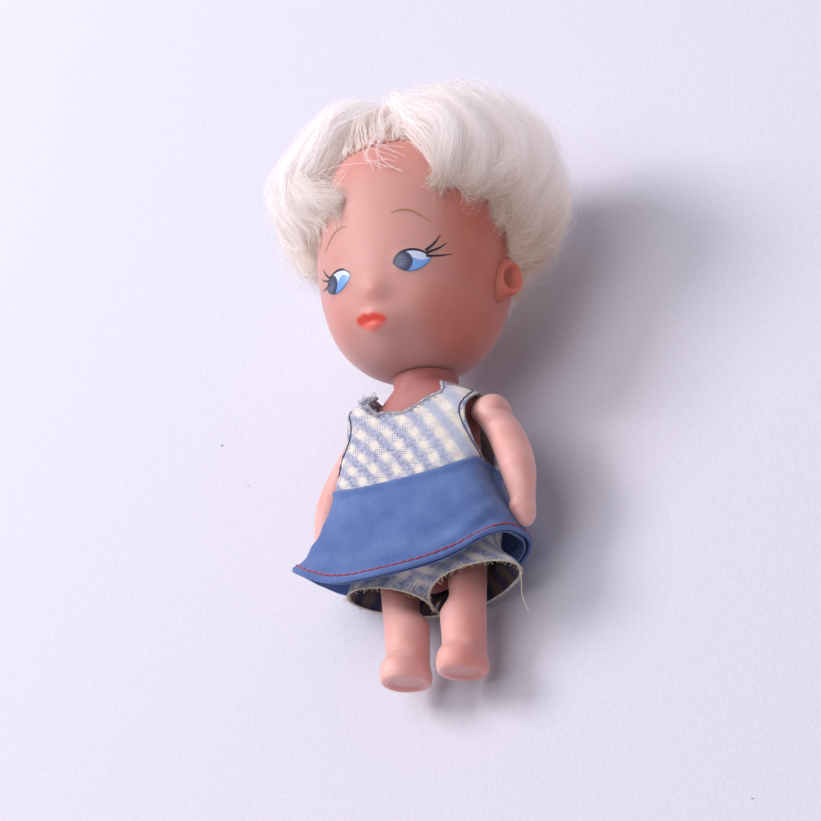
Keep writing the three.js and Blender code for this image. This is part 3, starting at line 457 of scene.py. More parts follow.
def hair_material():
    """Pale synthetic fibre, which lets light through; the mesh gives each strand's painted shade, which
    follows how deep it lies.
    """
    hair = Surface("hair_fibre", Roughness=0.4, Specular_IOR_Level=0.4)
    (depth, tone, _), _ = hair.painted()
    # Painted shade: strands go from dark yellow, deep in the hair and in shadow, to near white.
    base = depth.blend(linear(214, 192, 176), linear(254, 251, 253))
    colour = (tone * 0.5).blend(base, linear(246, 238, 238))
    hair.colour(colour)
    # A painted glow in the fibres' own colour stands in for light that scatters many times between the pale
    # fibres.
    hair.link(colour, hair.shader.inputs["Emission Color"])
    hair.shader.inputs["Emission Strength"].default_value = 0.13
    through = hair.node("BsdfTranslucent")
    hair.link(colour, through.inputs["Color"])
    both = hair.node("MixShader")
    both.inputs[0].default_value = 0.3
    hair.link(hair.shader.outputs[0], both.inputs[1])
    hair.link(through.outputs[0], both.inputs[2])
    hair.link(both.outputs[0], hair.tree.nodes["Material Output"].inputs["Surface"])
    return hair.material


# Widths of a check and of the threads, in millimetres.
CHECK, GINGHAM_THREAD, TWILL_THREAD = 2.9, 0.27, 0.384


def gingham_material(name, light, blue, turn):
    """Checked cotton: blue and pale threads in both directions of a plain weave. The blue of
    one direction is faint, and fainter still where the light has bleached it."""
    cloth = Surface(name, Roughness=0.92, Sheen_Weight=0.25, Specular_IOR_Level=0.2)
    u, v = cloth.cloth_axes(turn)
    wobble = (cloth.noise(3.5) - 0.5) * 0.7
    warp = ((u + wobble) * (TURN / CHECK)).sine().between(-0.9, 0.9)
    weft = ((v + wobble) * (TURN / CHECK)).sine().between(-0.85, 0.85)
    fade = cloth.noise(0.5, detail=4)
    kept = (u * 0.12 + fade * 0.5).between(0.9, -0.7)
    # The two thread directions go over and under each other.
    waves = TURN / GINGHAM_THREAD / 2
    crossing = (u * waves).sine() * (v * waves).sine()
    thread = crossing.between(-0.3, 0.3)
    pale = fade.between(0.2, 0.8).blend(light[0], light[1])
    strong = fade.between(0.25, 0.75).blend(blue[0], blue[1])
    dyed = (kept * 0.9 + 0.1).blend(blue[1], strong)
    along = warp.blend(pale, dyed)
    across = (weft * (kept * 0.85 + 0.15)).blend(along, dyed)
    cloth.colour(thread.blend(along, across))
    cloth.relief(crossing.math("ABSOLUTE") + fade * 0.6, 0.06)
    return cloth.material


def blue_material(name, deep, pale):
    """Blue cotton, a little washed out, with a fine twill."""
    cloth = Surface(name, Roughness=0.95, Sheen_Weight=0.3, Specular_IOR_Level=0.15)
    u, v = cloth.cloth_axes(turn=0.0)
    twill = ((u + v) * (TURN / TWILL_THREAD)).sine()
    cross = ((u - v) * (TURN / TWILL_THREAD)).sine()
    blotch = cloth.noise(4.5, detail=5, roughness=0.6)
    fuzz = cloth.noise(0.18, detail=3)
    worn = (blotch * 1.1 + fuzz * 0.5 + twill * 0.22 - 0.35).between(0.0, 1.0)
    cloth.colour(worn.blend(deep, pale))
    cloth.relief(twill * 0.6 + cross * 0.3 + fuzz, 0.05)
    return cloth.material


def thread_material(name, dark, pale):
    """Spun thread, lighter where its fibres stand out."""
    thread = Surface(name, Roughness=0.85, Sheen_Weight=0.3, Specular_IOR_Level=0.25)
    fibres = thread.noise(0.12, detail=3)
    thread.colour(fibres.between(0.3, 0.7).blend(dark, pale))
    thread.relief(fibres, 0.04)
    return thread.material


def metal_material():
    """Pressed nickel, rubbed dull."""
    metal = Surface("snap_nickel", Metallic=1.0, Roughness=0.3)
    rubbed = metal.noise(0.3, detail=4)
    metal.colour(rubbed.blend(linear(150, 150, 152), linear(206, 206, 208)))
    metal.set("Roughness", rubbed * 0.25 + 0.2)
    return metal.material


# The head's vinyl, painted paler on the doll's right as painted light.
SKIN = skin_material(
    "vinyl_skin", linear(204, 117, 98), linear(196, 106, 88), painted_light=linear(206, 149, 141)
)
LIMB = skin_material("vinyl_limbs", linear(234, 185, 179), linear(220, 160, 152))
# The torso's plastic is deeper than the limbs', partly as painted shade on the neck under the head.
TORSO = skin_material("torso_plastic", linear(176, 106, 100), linear(168, 98, 92))
PAINT = paint_material()
HAIR = hair_material()
GINGHAM = gingham_material(
    "gingham_cotton",
    (linear(226, 214, 200), linear(240, 234, 228)),
    (linear(130, 132, 168), linear(194, 196, 218)),
    turn=0.55,
)
# The inside of the bloomers: the same gingham, painted much darker as painted shade.
SHADED_LINING = gingham_material(
    "gingham_inside_shaded",
    (linear(84, 66, 64), linear(112, 92, 86)),
    (linear(34, 32, 60), linear(50, 48, 80)),
    turn=0.2,
)
BLUE = blue_material("blue_cotton", linear(68, 94, 160), linear(118, 144, 199))
EDGE = thread_material("edging_cotton", linear(118, 120, 146), linear(206, 202, 206))
NAVY = thread_material("navy_thread", linear(40, 42, 72), linear(74, 78, 112))
CREAM = thread_material("cream_edging", linear(198, 184, 156), linear(232, 222, 200))
RED = thread_material("red_thread", linear(138, 50, 70), linear(178, 84, 102))
ELASTIC = thread_material("elastic_cotton", linear(206, 200, 190), linear(236, 232, 226))
METAL = metal_material()


# Head. The mouth is painted and parted a little off the middle.
MOUTH_X, MOUTH_LEVEL, MOUTH_TILT = -1.2, 6.1, 0.2


def mouth_place(x, y):
    """Distances from the middle of the mouth: sideways, and up from its slanting line."""
    return np.abs(x - MOUTH_X), y - MOUTH_LEVEL + MOUTH_TILT * (x - MOUTH_X)


# What stands out of the plain front of the head: each bump's height, then its place aside from
# the middle and its level, each with its spread, in millimetres.
FACE_BUMPS = (
    (0.95, 0, 2.2, NOSE_LEVEL + 0.5, 1.7),
    (0.2, 0, 3, NOSE_LEVEL + 3.4, 2.6),
    (-0.2, EYE_OFFSET, 2.6, EYE_LEVEL, 2.2),
    (0.8, 0, 3.4, JAW + 1.4, 2),
    (0.7, 7.4, 4, 7.2, 4),
)
# The parted lips and the full lower lip, from the middle of the mouth.
LIP_BUMPS = (
    (0.15, 0.8, 0.8, 0.9, 0.6),
    (-0.35, 0, 1.5, 0.1, 0.45),
    (0.32, 0, 1.3, -1.0, 0.6),
    (-0.15, 0, 1.8, -2.3, 0.7),
)


def bumps(table, across, up):
    """The sum of a table's bumps at places across and up."""
    return sum(
        height * bump(across - x, x_spread) * bump(up - y, y_spread)
        for height, x, x_spread, y, y_spread in table
    )


def face_relief(x, y):
    """How far the features stand out of the plain front of the head."""
    side = np.abs(x)
    across, lip_y = mouth_place(x, y)
    eyes = 0.35 * np.exp(-(((side - EYE_OFFSET) / 2.5) ** 4 + ((y - EYE_LEVEL) / 1.7) ** 4))
    muzzle = 1.6 * bump(side, 3.2) * bump(lip_y, 2.2)
    return bumps(FACE_BUMPS, side, y) + bumps(LIP_BUMPS, across, lip_y) + eyes + muzzle


def head_surface(latitude, azimuth):
    """The head's skin, with the face's features; azimuth 0 faces forwards."""
    latitude, azimuth = np.broadcast_arrays(np.asarray(latitude, float), np.asarray(azimuth, float))
    low = latitude < 0
    fullness = np.where(low, JAW_FULLNESS, CROWN_FULLNESS)
    rise = signed_power(np.sin(latitude), np.where(low, 0.8, 1.0))
    reach = np.maximum(1 - np.abs(rise) ** fullness, 0) ** (1 / fullness)
    facing = np.cos(azimuth)
    tuck = np.where(low, 1 - NAPE_TUCK * rise * rise, 1)
    depth = np.where(facing > 0, FACE_DEPTH, BACK_DEPTH * tuck)
    x = HEAD_HALF_WIDTH * reach * np.sin(azimuth)
    y = HEAD_MIDDLE + rise * np.where(low, TEMPLE_RISE, CROWN_RISE)
    z = depth * reach * facing + HEAD_FORWARD
    z = z + np.where(facing > 0, face_relief(x, y) * np.clip(3 * facing, 0, 1), 0)
    return np.stack([x, y, z], axis=-1)


def over_head(latitude, azimuth, height):
    """A place over the scalp; latitude and azimuth in degrees, height in millimetres."""
    skin = head_surface(np.asarray(latitude) * DEGREE, np.asarray(azimuth) * DEGREE)
    return skin + unit(skin - HEAD_CENTRE) * np.asarray(height, float)[..., None]


def face_point(x, y, lift):
    """The place on the face in front of a point of the face's plane."""
    x, y = np.broadcast_arrays(np.asarray(x, float), np.asarray(y, float))
    low = y < HEAD_MIDDLE
    fullness = np.where(low, JAW_FULLNESS, CROWN_FULLNESS)
    rise = np.abs((y - HEAD_MIDDLE) / np.where(low, TEMPLE_RISE, CROWN_RISE))
    reach = np.maximum(1 - rise**fullness, 1e-6) ** (1 / fullness)
    facing = np.sqrt(np.maximum(1 - (x / (HEAD_HALF_WIDTH * reach)) ** 2, 0))
    z = FACE_DEPTH * reach * facing + HEAD_FORWARD
    z = z + face_relief(x, y) * np.clip(3 * facing, 0, 1) + lift
    return np.stack([x, y, z], axis=-1)


def lip_mask(x, y):
    """1 on the painted lips: a bow above and a narrower round lip below, with soft edges."""
    across, up = mouth_place(x, y)
    top = 1.2 - 0.3 * bump(across, 0.5) - 0.1 * across**1.7
    bottom = -1.25 + 0.26 * across**1.6
    return smooth(-0.3, 0.4, top - up) * smooth(-0.45, 0.5, up - bottom) * smooth(3.1, 2.1, across)


def make_head():
    """The head with its painted lips, closer columns on the face than behind."""
    columns, rows = 300, 200
    share = np.arange(columns) / columns
    azimuth = TURN * share - 0.5 * np.sin(TURN * share)
    latitude = np.linspace(-math.pi / 2 + 0.004, math.pi / 2 - 0.004, rows + 1)
    poles = [[0, HEAD_MIDDLE + rise, HEAD_FORWARD] for rise in (-TEMPLE_RISE, CROWN_RISE)]
    points, faces = closed_loft(head_surface(latitude[:, None], azimuth[None, :]), poles)
    x, y, z = points.T
    front = smooth(HEAD_FORWARD, HEAD_FORWARD + 4, z)
    lips = lip_mask(x, y) * front
    cheeks = bump(np.abs(x) - 8.2, 3.2) * bump(y - 8.4, 3.4)
    blush_and_shade = (cheeks + 0.4 * bump(x, 2.2) * bump(y - 9, 2)) * front
    # The lower lip fades to pink, and the skin under the hair is painted redder, as painted shade.
    _, up = mouth_place(x, y)
    blush_and_shade = mix(blush_and_shade, smooth(0.3, -0.9, up), lips)
    blush_and_shade = np.maximum(blush_and_shade, 0.8 * smooth(26, 31, y) * front)
    speck = rng.random(len(points)) > 0.99985
    return new_object("head", points, faces, SKIN, paint=np.stack([lips, blush_and_shade, speck], axis=1))


def make_ear(side):
    """The moulded ear: a rim round a hollow, with a lobe below."""
    rings, spokes = 26, 56
    place = head_surface(np.array(0.0), np.array((EAR_AZIMUTH - side * EAR_UNEVENNESS) * DEGREE))
    radius = np.linspace(0, 1.2, rings + 1)[:, None]
    turn = (np.arange(spokes) * TURN / spokes)[None, :]
    up, forward = radius * np.cos(turn), radius * np.sin(turn)
    from_hollow = np.hypot(up + 0.12, forward - 0.1)
    rim = (1.0 - 0.35 * np.sin(turn)) * bump(radius - 0.78, 0.24)
    lobe = 0.5 * bump(up + 0.72, 0.3) * bump(forward, 0.5)
    bowl = -0.9 * bump(from_hollow, 0.42)
    inner_fold = 0.3 * bump(np.hypot(up - 0.2, forward + 0.1) - 0.45, 0.12) * smooth(-0.2, 0.3, up)
    outer = -1.3 * smooth(0.85, 1.2, radius)
    height = 0.35 + rim + lobe + bowl + inner_fold + outer
    x = side * (place[0] - 0.35 + height - 0.45 * forward)
    y = EAR_LEVEL + EAR_HALF_HEIGHT * up * (1 + 0.12 * up)
    z = place[2] + EAR_HALF_WIDTH * forward * (1 + 0.15 * up) - 0.25 * up
    # The hollow is painted redder and darker: painted shade.
    hollow = bump(from_hollow, 0.38)
    paint = np.stack([0 * hollow, 1.8 * hollow, 0.75 * hollow**2], axis=-1).reshape(-1, 3)
    points = np.stack([x, y, z], axis=-1).reshape(-1, 3)
    faces = grid_faces(spokes, rings, closed=True)
    return new_object(SIDE_NAME[side] + "_ear", points, faces, SKIN, paint=paint)


# Face painting: thin layers of enamel on the moulded eyes. Each eye has its middle, the tips of
# its outline and how far its iris lies from the middle, so that both look to the doll's right.
EYES = {
    LEFT: ((6.0, 13.5), (-2.65, 2.35), -1.3),
    RIGHT: ((-6.25, 13.55), (-2.75, 2.75), 1.35),
}
EYE_SPAN = 1.95
PAINT_LIFT, STROKE_LIFT = 0.035, 0.05


def eye_colours(x, y, inner_tip, outer_tip, glance):
    """Colour and cover of the painted eye at points of an eye's own plane: x outwards from its
    middle and y up, in millimetres."""
    half = (outer_tip - inner_tip) / 2
    across = np.clip((x - (outer_tip + inner_tip) / 2) / half, -1, 1)
    arch = np.maximum(1 - across**2, 0)
    tilt = 0.1 * across
    top = tilt + 1.72 * arch**0.62
    bottom = tilt - 1.66 * arch**0.7
    cover = smooth(-0.04, 0.04, top - y) * smooth(-0.04, 0.04, y - bottom)
    white, sky, slate, steel, ink = (
        np.array(linear(*colour)[:3])
        for colour in ((206, 214, 240), (112, 160, 224), (58, 62, 88), (120, 128, 160), (34, 28, 44))
    )
    lower = smooth(0.15, -0.15, y - 0.1 + 0.25 * np.sin(2.2 * x + glance))
    colour = mix(white, sky, lower[..., None])
    distance = np.hypot(x - glance, (y + 0.1) * 0.95)
    mottle = 0.5 + 0.5 * np.sin(9 * x + 3 * np.sin(7 * y)) * np.sin(8 * y + 2 * np.sin(11 * x))
    iris = mix(slate, steel, (mottle * smooth(1.2, 0.3, distance) * 0.8)[..., None])
    colour = mix(colour, iris, smooth(1.47, 1.37, distance)[..., None])
    lid = smooth(-0.36 - 0.12 * arch, -0.26 - 0.12 * arch, y - top)
    colour = mix(colour, ink, lid[..., None])
    rim = smooth(0.24, 0.1, y - bottom) * 0.65
    colour = mix(colour, slate, rim[..., None])
    return colour, cover


def make_eye(side):
    """One painted eye, cut to its almond outline."""
    centre, (inner, outer), glance = EYES[side]
    columns, rows = 132, 96
    x, y = grid_axes(columns, rows, inner, outer)
    y = (2 * y - 1) * EYE_SPAN
    colour, cover = eye_colours(x, y, inner, outer, glance)
    points = face_point(centre[0] + side * x, centre[1] + y, PAINT_LIFT).reshape(-1, 3)
    faces = grid_faces(columns, rows)
    faces = faces[np.all(cover.ravel()[faces] > 0.5, axis=1)]
    if side == RIGHT:
        faces = faces[:, ::-1]
    return new_object(SIDE_NAME[side] + "_eye_paint", points, faces, PAINT, paint=colour.reshape(-1, 3))


def brush_stroke(path, widths, colour):
    """A stroke of enamel on the face through (x, y) points, with its width at each."""
    steps = 26
    t = np.linspace(0, 1, steps + 1)
    line = spline(path, t)
    width = np.maximum(spline(np.array(widths)[:, None], t)[:, 0], 0.02)
    tangent = unit(np.gradient(line, axis=0))
    normal = np.stack([-tangent[:, 1], tangent[:, 0]], axis=1)
    across = np.linspace(-0.5, 0.5, 5)
    flat = line[:, None] + normal[:, None] * (across[None, :, None] * width[:, None, None])
    points = face_point(flat[..., 0], flat[..., 1], STROKE_LIFT).reshape(-1, 3)
    return points, grid_faces(4, steps), np.tile(np.array(linear(*colour)[:3]), (len(points), 1))


def make_strokes():
    """Lashes at the outer corners and the thin arched brows."""
    ink, brown = (46, 34, 48), (176, 112, 74)
    strokes = []
    for side in (LEFT, RIGHT):
        root = np.array([side * 7.75, 14.2])
        for reach, rise, at in ((1.9, 2.5, 0.55), (2.5, 1.7, 0.15), (2.9, 0.6, -0.3)):
            start = root + [side * 0.05, at]
            tip = start + [side * reach, rise]
            middle = (start + tip) / 2 + [side * 0.12, -0.1]
            strokes.append(brush_stroke([start, middle, tip], [0.34, 0.24, 0.04], ink))
        brow = [[side * 3.5, 20.9], [side * 5.0, 21.25], [side * 6.7, 20.75], [side * 8.7, 19.1]]
        strokes.append(brush_stroke(brow, [0.05, 0.3, 0.26, 0.04], brown))
    points, faces = merged([(p, f) for p, f, _ in strokes])
    paint = np.concatenate([c for _, _, c in strokes])
    return new_object("lashes_and_brows", points, faces, PAINT, paint=paint)


# Hair.
def guide(latitudes, azimuths, heights):
    """A parting from the crown to the tips: its latitudes and azimuths in degrees, and its
    heights over the scalp as shares of the hair's full height."""
    return list(zip(latitudes, azimuths, heights))


HAIR_HEIGHT = 8.0
RIGHT_FRINGE = guide(
    (62, 50, 38, 23, 11, 4), (-7, -22, -34, -37, -29, -18), (0.46, 0.5, 0.56, 0.56, 0.36, 0.12)
)
RIGHT_CURL = guide((62, 50, 34, 18, 6, 1), (-34, -50, -62, -62, -55, -45), (0.55, 0.88, 1, 0.83, 0.43, 0.12))
RIGHT_TEMPLE = guide(
    (62, 50, 33, 16, 4, 0), (-66, -76, -82, -83, -80, -75), (0.55, 0.95, 1.08, 0.95, 0.5, 0.12)
)
RIGHT_EAR = guide((62, 50, 32, 14, 0, -6), (-95, -98, -101, -103, -102, -99), (0.55, 0.95, 1.1, 1, 0.6, 0.15))
RIGHT_BACK = guide(
    (62, 48, 30, 13, -1, -9), (-120, -121, -122, -121, -120, -118), (0.55, 0.9, 1, 0.9, 0.55, 0.15)
)
RIGHT_NAPE = guide(
    (62, 46, 27, 9, -5, -12), (-150, -150, -150, -150, -150, -149), (0.55, 0.8, 0.86, 0.8, 0.4, 0.12)
)
NAPE = guide((62, 46, 27, 8, -9, -18), 6 * (-180,), (0.55, 0.77, 0.8, 0.8, 0.55, 0.12))
LEFT_NAPE = guide(
    (62, 46, 27, 9, -5, -12), (150, 150, 150, 150, 150, 149), (0.55, 0.8, 0.86, 0.8, 0.38, 0.12)
)
LEFT_BACK = guide((62, 48, 30, 13, -1, -9), (120, 121, 122, 121, 120, 118), (0.6, 0.98, 1.1, 1, 0.6, 0.15))
LEFT_EAR = guide((62, 50, 32, 13, -2, -7), (97, 99, 102, 104, 104, 103), (0.6, 1.02, 1.2, 1.15, 0.65, 0.16))
LEFT_TEMPLE = guide((62, 50, 33, 17, 4, 1), (68, 76, 82, 85, 87, 87), (0.5, 0.84, 1.06, 1, 0.55, 0.12))
LEFT_ROLL = guide((62, 50, 35, 20, 8, 6), (40, 54, 64, 69, 72, 72), (0.46, 0.7, 0.92, 0.88, 0.45, 0.12))
LEFT_CURL = guide((62, 49, 34, 19, 7, 5), (24, 36, 47, 55, 60, 61), (0.46, 0.64, 0.84, 0.8, 0.42, 0.12))
LEFT_FRINGE = guide((62, 50, 36, 20, 9, 4), (7, 17, 27, 34, 41, 45), (0.45, 0.45, 0.5, 0.5, 0.32, 0.12))
CENTRE_BACK = [(latitude, -azimuth, share) for latitude, azimuth, share in NAPE]
LOCKS = {
    "hair_back_right": [NAPE, RIGHT_NAPE, RIGHT_BACK],
    "hair_side_right": [RIGHT_BACK, RIGHT_EAR, RIGHT_TEMPLE],
    "hair_front_right": [RIGHT_TEMPLE, RIGHT_CURL, RIGHT_FRINGE],
    "hair_front_left": [LEFT_FRINGE, LEFT_CURL, LEFT_ROLL, LEFT_TEMPLE],
    "hair_side_left": [LEFT_TEMPLE, LEFT_EAR, LEFT_BACK],
    "hair_back_left": [LEFT_BACK, LEFT_NAPE, CENTRE_BACK],
}
# Over the crown the hair is combed from its whorl towards each side, and it rises thinly from
# the hairline.
CROWN = [
    guide((90, 82, 74, 66, 58, 50), 6 * (azimuth,), (0.44, 0.48, 0.5, 0.5, 0.5, 0.5))
    for azimuth in range(-180, 181, 30)
]
VEIL = [
    guide(
        (34.5, 38, 45, 53, 62, 72),
        (azimuth, azimuth * 0.98, azimuth * 0.85, azimuth * 0.6, azimuth * 0.3 + 6, 20),
        (0.03, 0.14, 0.28, 0.42, 0.5, 0.54),
    )
    for azimuth in (-30, -14, 0, 12, 24)
]
LOCK_STRANDS, LOOSE_STRANDS, CROWN_STRANDS, VEIL_STRANDS = 5200, 1300, 6000, 400
WISPS = 34
STRAND_STEPS = 16
STRAND_WIDTH = 0.11


def valley(across, along):
    """The groove down the middle of a lock, which parts it into two rolls."""
    return 1 - 0.3 * bump(across - 0.5, 0.09) * smooth(0.2, 0.55, along)


def strand_paths(guides, across, depth, frizz, clumps):
    """Lines of points for strands at places across a lock and depths in it, 1 outermost."""
    guides = np.asarray(guides, float)
    count = len(across)
    t = np.linspace(0, 1, STRAND_STEPS + 1)
    control = spline(guides, across)
    for number, pull in clumps:
        cell = np.floor(across * number)
        middles = (cell + 0.5 + 0.35 * np.sin(7.3 * cell)) / number
        reach = (pull * np.linspace(0, 1, control.shape[1]) ** 1.2)[None, :, None]
        control = mix(control, spline(guides, middles), reach)
    path = spline(control.transpose(1, 0, 2), t).transpose(1, 0, 2)
    along = t[None, :]
    phase = rng.random((count, 1)) * TURN
    # Wisps of neighbouring strands wave together, and each ends in its own small curl.
    wisp = np.floor(across * WISPS)[:, None]
    wisp_phase = 5.1 * np.sin(12.9 * wisp) + 0.5 * phase / TURN
    setting = along * 10.5 + 1.6 * np.sin(across * 5)[:, None]
    curl = along**2.5 * (1.5 + np.sin(3.7 * wisp))
    path[:, :, 1] += frizz * 2.4 * np.sin(setting + 0.35 * wisp_phase) * (0.3 + along)
    path[:, :, 1] += frizz * (1.7 * curl * np.sin(along * 15 + wisp_phase) + rng.normal(0, 1.3, (count, 1)))
    path[:, :, 0] += frizz * 1.3 * curl * np.cos(along * 15 + wisp_phase)
    path[:, :, 0] += frizz * (rng.normal(0, 0.8, (count, 1)) + rng.normal(0, 1.9, (count, 1)) * along**3)
    swell = 0.075 * np.sin(setting + 1.2) * (0.4 + along) + 0.075 * np.sin(5.3 * wisp)
    swell = swell + 0.04 * np.sin(along * 19 + phase)
    full = path[:, :, 2] * valley(across[:, None], along)
    height = 0.95 * HAIR_HEIGHT * (full * depth[:, None] + frizz * swell)
    places = over_head(path[:, :, 0], path[:, :, 1], np.maximum(height, 0.1))
    return above_table(places, 0.12)


def ribbons(paths, width, twist):
    """Flat ribbons along strands, which narrow to their tips. They face out of the head, or
    turn from that by a twist."""
    tangent = unit(np.gradient(paths, axis=1))
    side = unit(np.cross(tangent, paths - HEAD_CENTRE))
    twist = twist[:, None, None]
    side = np.cos(twist) * side + np.sin(twist) * np.cross(side, tangent)
    steps = paths.shape[1] - 1
    taper = (1 - 0.65 * np.linspace(0, 1, steps + 1) ** 2)[None, :, None]
    reach = side * taper * width[:, None, None] / 2
    pair = np.stack([paths - reach, paths + reach], axis=2)
    first = (np.arange(len(paths)) * (steps + 1) * 2)[:, None] + (np.arange(steps) * 2)[None, :]
    faces = np.stack([first, first + 1, first + 3, first + 2], axis=-1).reshape(-1, 4)
    return pair.reshape(-1, 3), faces


def strands(name, guides, count, depths, frizz=1.0, clumps=((8, 0.55), (40, 0.5)), width=STRAND_WIDTH):
    """Strands of one lock; depths gives how deep so many of them lie in it, 1 outermost."""
    depth = depths(count)
    across = rng.random(count)
    across = mix(across, 0.5 - 0.5 * np.cos(math.pi * across), 0.7)
    # Deep strands and sunken wisps are painted darker and yellower, as painted shade, and each strand darkens
    # towards its end.
    shade = (depth - 0.45) / 0.45 + 0.45 * np.sin(5.3 * np.floor(across * WISPS))
    # Strands of every depth close the lock's two edges, and face sideways there.
    edge = smooth(0.12, 0.0, np.minimum(across, 1 - across))
    depth = mix(depth, depth * rng.random(count) ** 0.5, edge)
    paths = strand_paths(guides, across, depth, frizz, clumps)
    twist = edge * math.pi / 2 + rng.normal(0, 0.35, count)
    points, faces = ribbons(paths, width * rng.uniform(0.6, 1.2, count), twist)
    along = np.linspace(0, 1, STRAND_STEPS + 1)[None, :]
    shade = np.minimum(shade[:, None], 1) - 0.55 * along**3
    # The hair low on the doll's left is painted darker too, as painted shade on the side away from the
    # window.
    shade -= 0.9 * smooth(2, 13, paths[..., 0]) * smooth(32, 14, paths[..., 1])
    shade = np.clip(shade, 0, 1)
    tone = rng.random(count)
    each = 2 * (STRAND_STEPS + 1)
    paint = np.stack([np.repeat(shade.ravel(), 2), np.repeat(tone, each), np.zeros(count * each)], axis=1)
    return new_object(name, points, faces, HAIR, paint=paint)


def make_lock(name, guides):
    """A lock: a soft core, the strands that lie over it, and a few that have come loose."""
    core = make_core(name, guides)
    over = strands(name + "_strands", guides, LOCK_STRANDS, lambda n: 0.5 + 0.5 * rng.random(n) ** 0.6)
    loose = strands(
        name + "_loose", guides, LOOSE_STRANDS, lambda n: rng.uniform(0.8, 1.12, n),
        frizz=1.7, clumps=(), width=0.06,
    )
    return core, over, loose


def make_core(name, guides):
    """The closed body of a lock under its outer strands, ribbed along the flow."""
    columns, rows = 70, 40
    u, t = grid_axes(columns, rows)
    # It is narrower than the lock, so that loose strands make the lock's edges.
    control = spline(np.asarray(guides, float), mix(0.05, 0.95, u[0]))
    latitude, azimuth, full = spline(control.transpose(1, 0, 2), t[:, 0]).transpose(2, 0, 1)
    ribs = 0.9 + 0.1 * np.sin(u * 61 + 2 * np.sin(u * 23))
    edge = smooth(-0.05, 0.3, np.minimum(u, 1 - u))
    height = np.maximum(HAIR_HEIGHT * full * valley(u, t) * 0.68 * ribs * edge, 0.1)
    outer = above_table(over_head(latitude, azimuth, height), 0.1)
    inner = above_table(over_head(latitude, azimuth, 0 * height + 0.05), 0.05)
    points = np.concatenate([outer, inner[:, ::-1]], axis=1)
    around = points.shape[1]
    k = np.arange(columns)
    start = np.stack([k + 1, k, around - 1 - k, around - 2 - k], axis=1)
    faces = np.concatenate([grid_faces(around, rows, closed=True), start, start[:, ::-1] + rows * around])
    # Painted shade: the core is coloured as hair deep in shade, banded across its ribs and darkest on its
    # inner face.
    shade = 0.42 + 0.2 * np.sin(u * 61)
    shade = np.concatenate([shade, 0 * shade], axis=1).ravel()
    paint = np.stack([shade, 0 * shade + 0.4, 0 * shade], axis=1)
    return new_object(name + "_core", points.reshape(-1, 3), faces, HAIR, paint=paint)


def stray_hairs():
    """Single hairs that have come out of the front locks and hang over the forehead."""
    roots = ((44, 20, 2.6), (24, -36, 2.8))
    bends = ((25, 2, 1.4), (15, -28, 1.8))
    tips = ((17, 14, 0.7), (17, -16, 0.6))
    parts = []
    for lock, count in ((0, 12), (1, 9)):
        for _ in range(count):
            places = np.array([roots[lock], bends[lock], tips[lock]])
            line = places + rng.normal(0, 1, (3, 3)) * (5, 6, 0.3)
            latitude, azimuth, height = spline(line, np.linspace(0, 1, 16)).T
            places = over_head(latitude, azimuth, np.maximum(height, 0.2))
            parts.append(tube(above_table(places, 0.1), 0.028, sides=5))
    points, faces = merged(parts)
    paint = np.tile([1.0, 0.5, 0.0], (len(points), 1))
    return new_object("stray_hairs", points, faces, HAIR, paint=paint)


def rooting_holes():
    """Small dents along the hairline, where the hair is stitched into the scalp, painted dark as painted
    shade in them.
    """
    parts = []
    for azimuth in np.linspace(-29, 23, 12):
        centre = over_head(34.2 + 0.8 * math.cos(azimuth * 0.06), azimuth, 0.0)
        outward = unit(centre - HEAD_CENTRE)
        path = [centre - outward * 0.15, centre + outward * 0.06, centre + outward * 0.1]
        parts.append(tube(path, np.array([0.3, 0.28, 0.1]), sides=10))
    points, faces = merged(parts)
    # Painted shade: each dent takes the skin's dark speck colour.
    paint = np.zeros((len(points), 3))
    paint[:, 2] = 1
    return new_object("rooting_holes", points, faces, SKIN, paint=paint)


# Limbs.
def round_section(power, sides):
    """Sideways and forward shares of a rounded section, from the front towards the doll's left."""
    turn = np.arange(sides) * TURN / sides
    return signed_power(np.sin(turn), power), signed_power(np.cos(turn), power)


def ring_points(centre, half_width, half_depth, squareness, sides):
    """A level ring of a limb: squareness 2 is an ellipse, and more is squarer."""
    across, forward = round_section(2 / squareness, sides)
    x = centre[0] + half_width * across
    z = centre[2] + half_depth * forward
    return np.stack([x, np.full(sides, centre[1]), z], axis=1)


def dome_rings(centre, half_width, radius, bulge, squareness, sides, steps=14):
    """Rings that close the round top of a limb's disc."""
    rings = []
    for angle in np.linspace(0, math.pi / 2, steps + 1)[1:-1]:
        middle = (centre[0], centre[1] + radius * math.sin(angle), 0)
        half = half_width * math.cos(angle) ** bulge
        rings.append(ring_points(middle, half, radius * math.cos(angle), squareness, sides))
    return rings


def limb_object(name, rings, material, paint):
    """A limb or the torso from its rings; paint makes its colours from its points."""
    points, faces = closed_loft(rings)
    return new_object(name, points, faces, material, paint=paint(points))


def limb_paint(points):
    """A few specks on a limb."""
    colours = np.zeros((len(points), 3))
    colours[:, 2] = 0.6 * (rng.random(len(points)) > 0.9992)
    return colours


def leg_shade_paint(points):
    """A leg's painted shade: its vinyl is painted deeper in colour inside the bloomers and on the doll's
    left, away from the window.
    """
    colours = limb_paint(points)
    colours[:, 1] = np.maximum(smooth(-37, -30, points[:, 1]), 1.6 * smooth(1, 8, points[:, 0]))
    colours[:, 2] = np.maximum(colours[:, 2], 0.9 * smooth(-34.5, -29, points[:, 1]))
    return colours


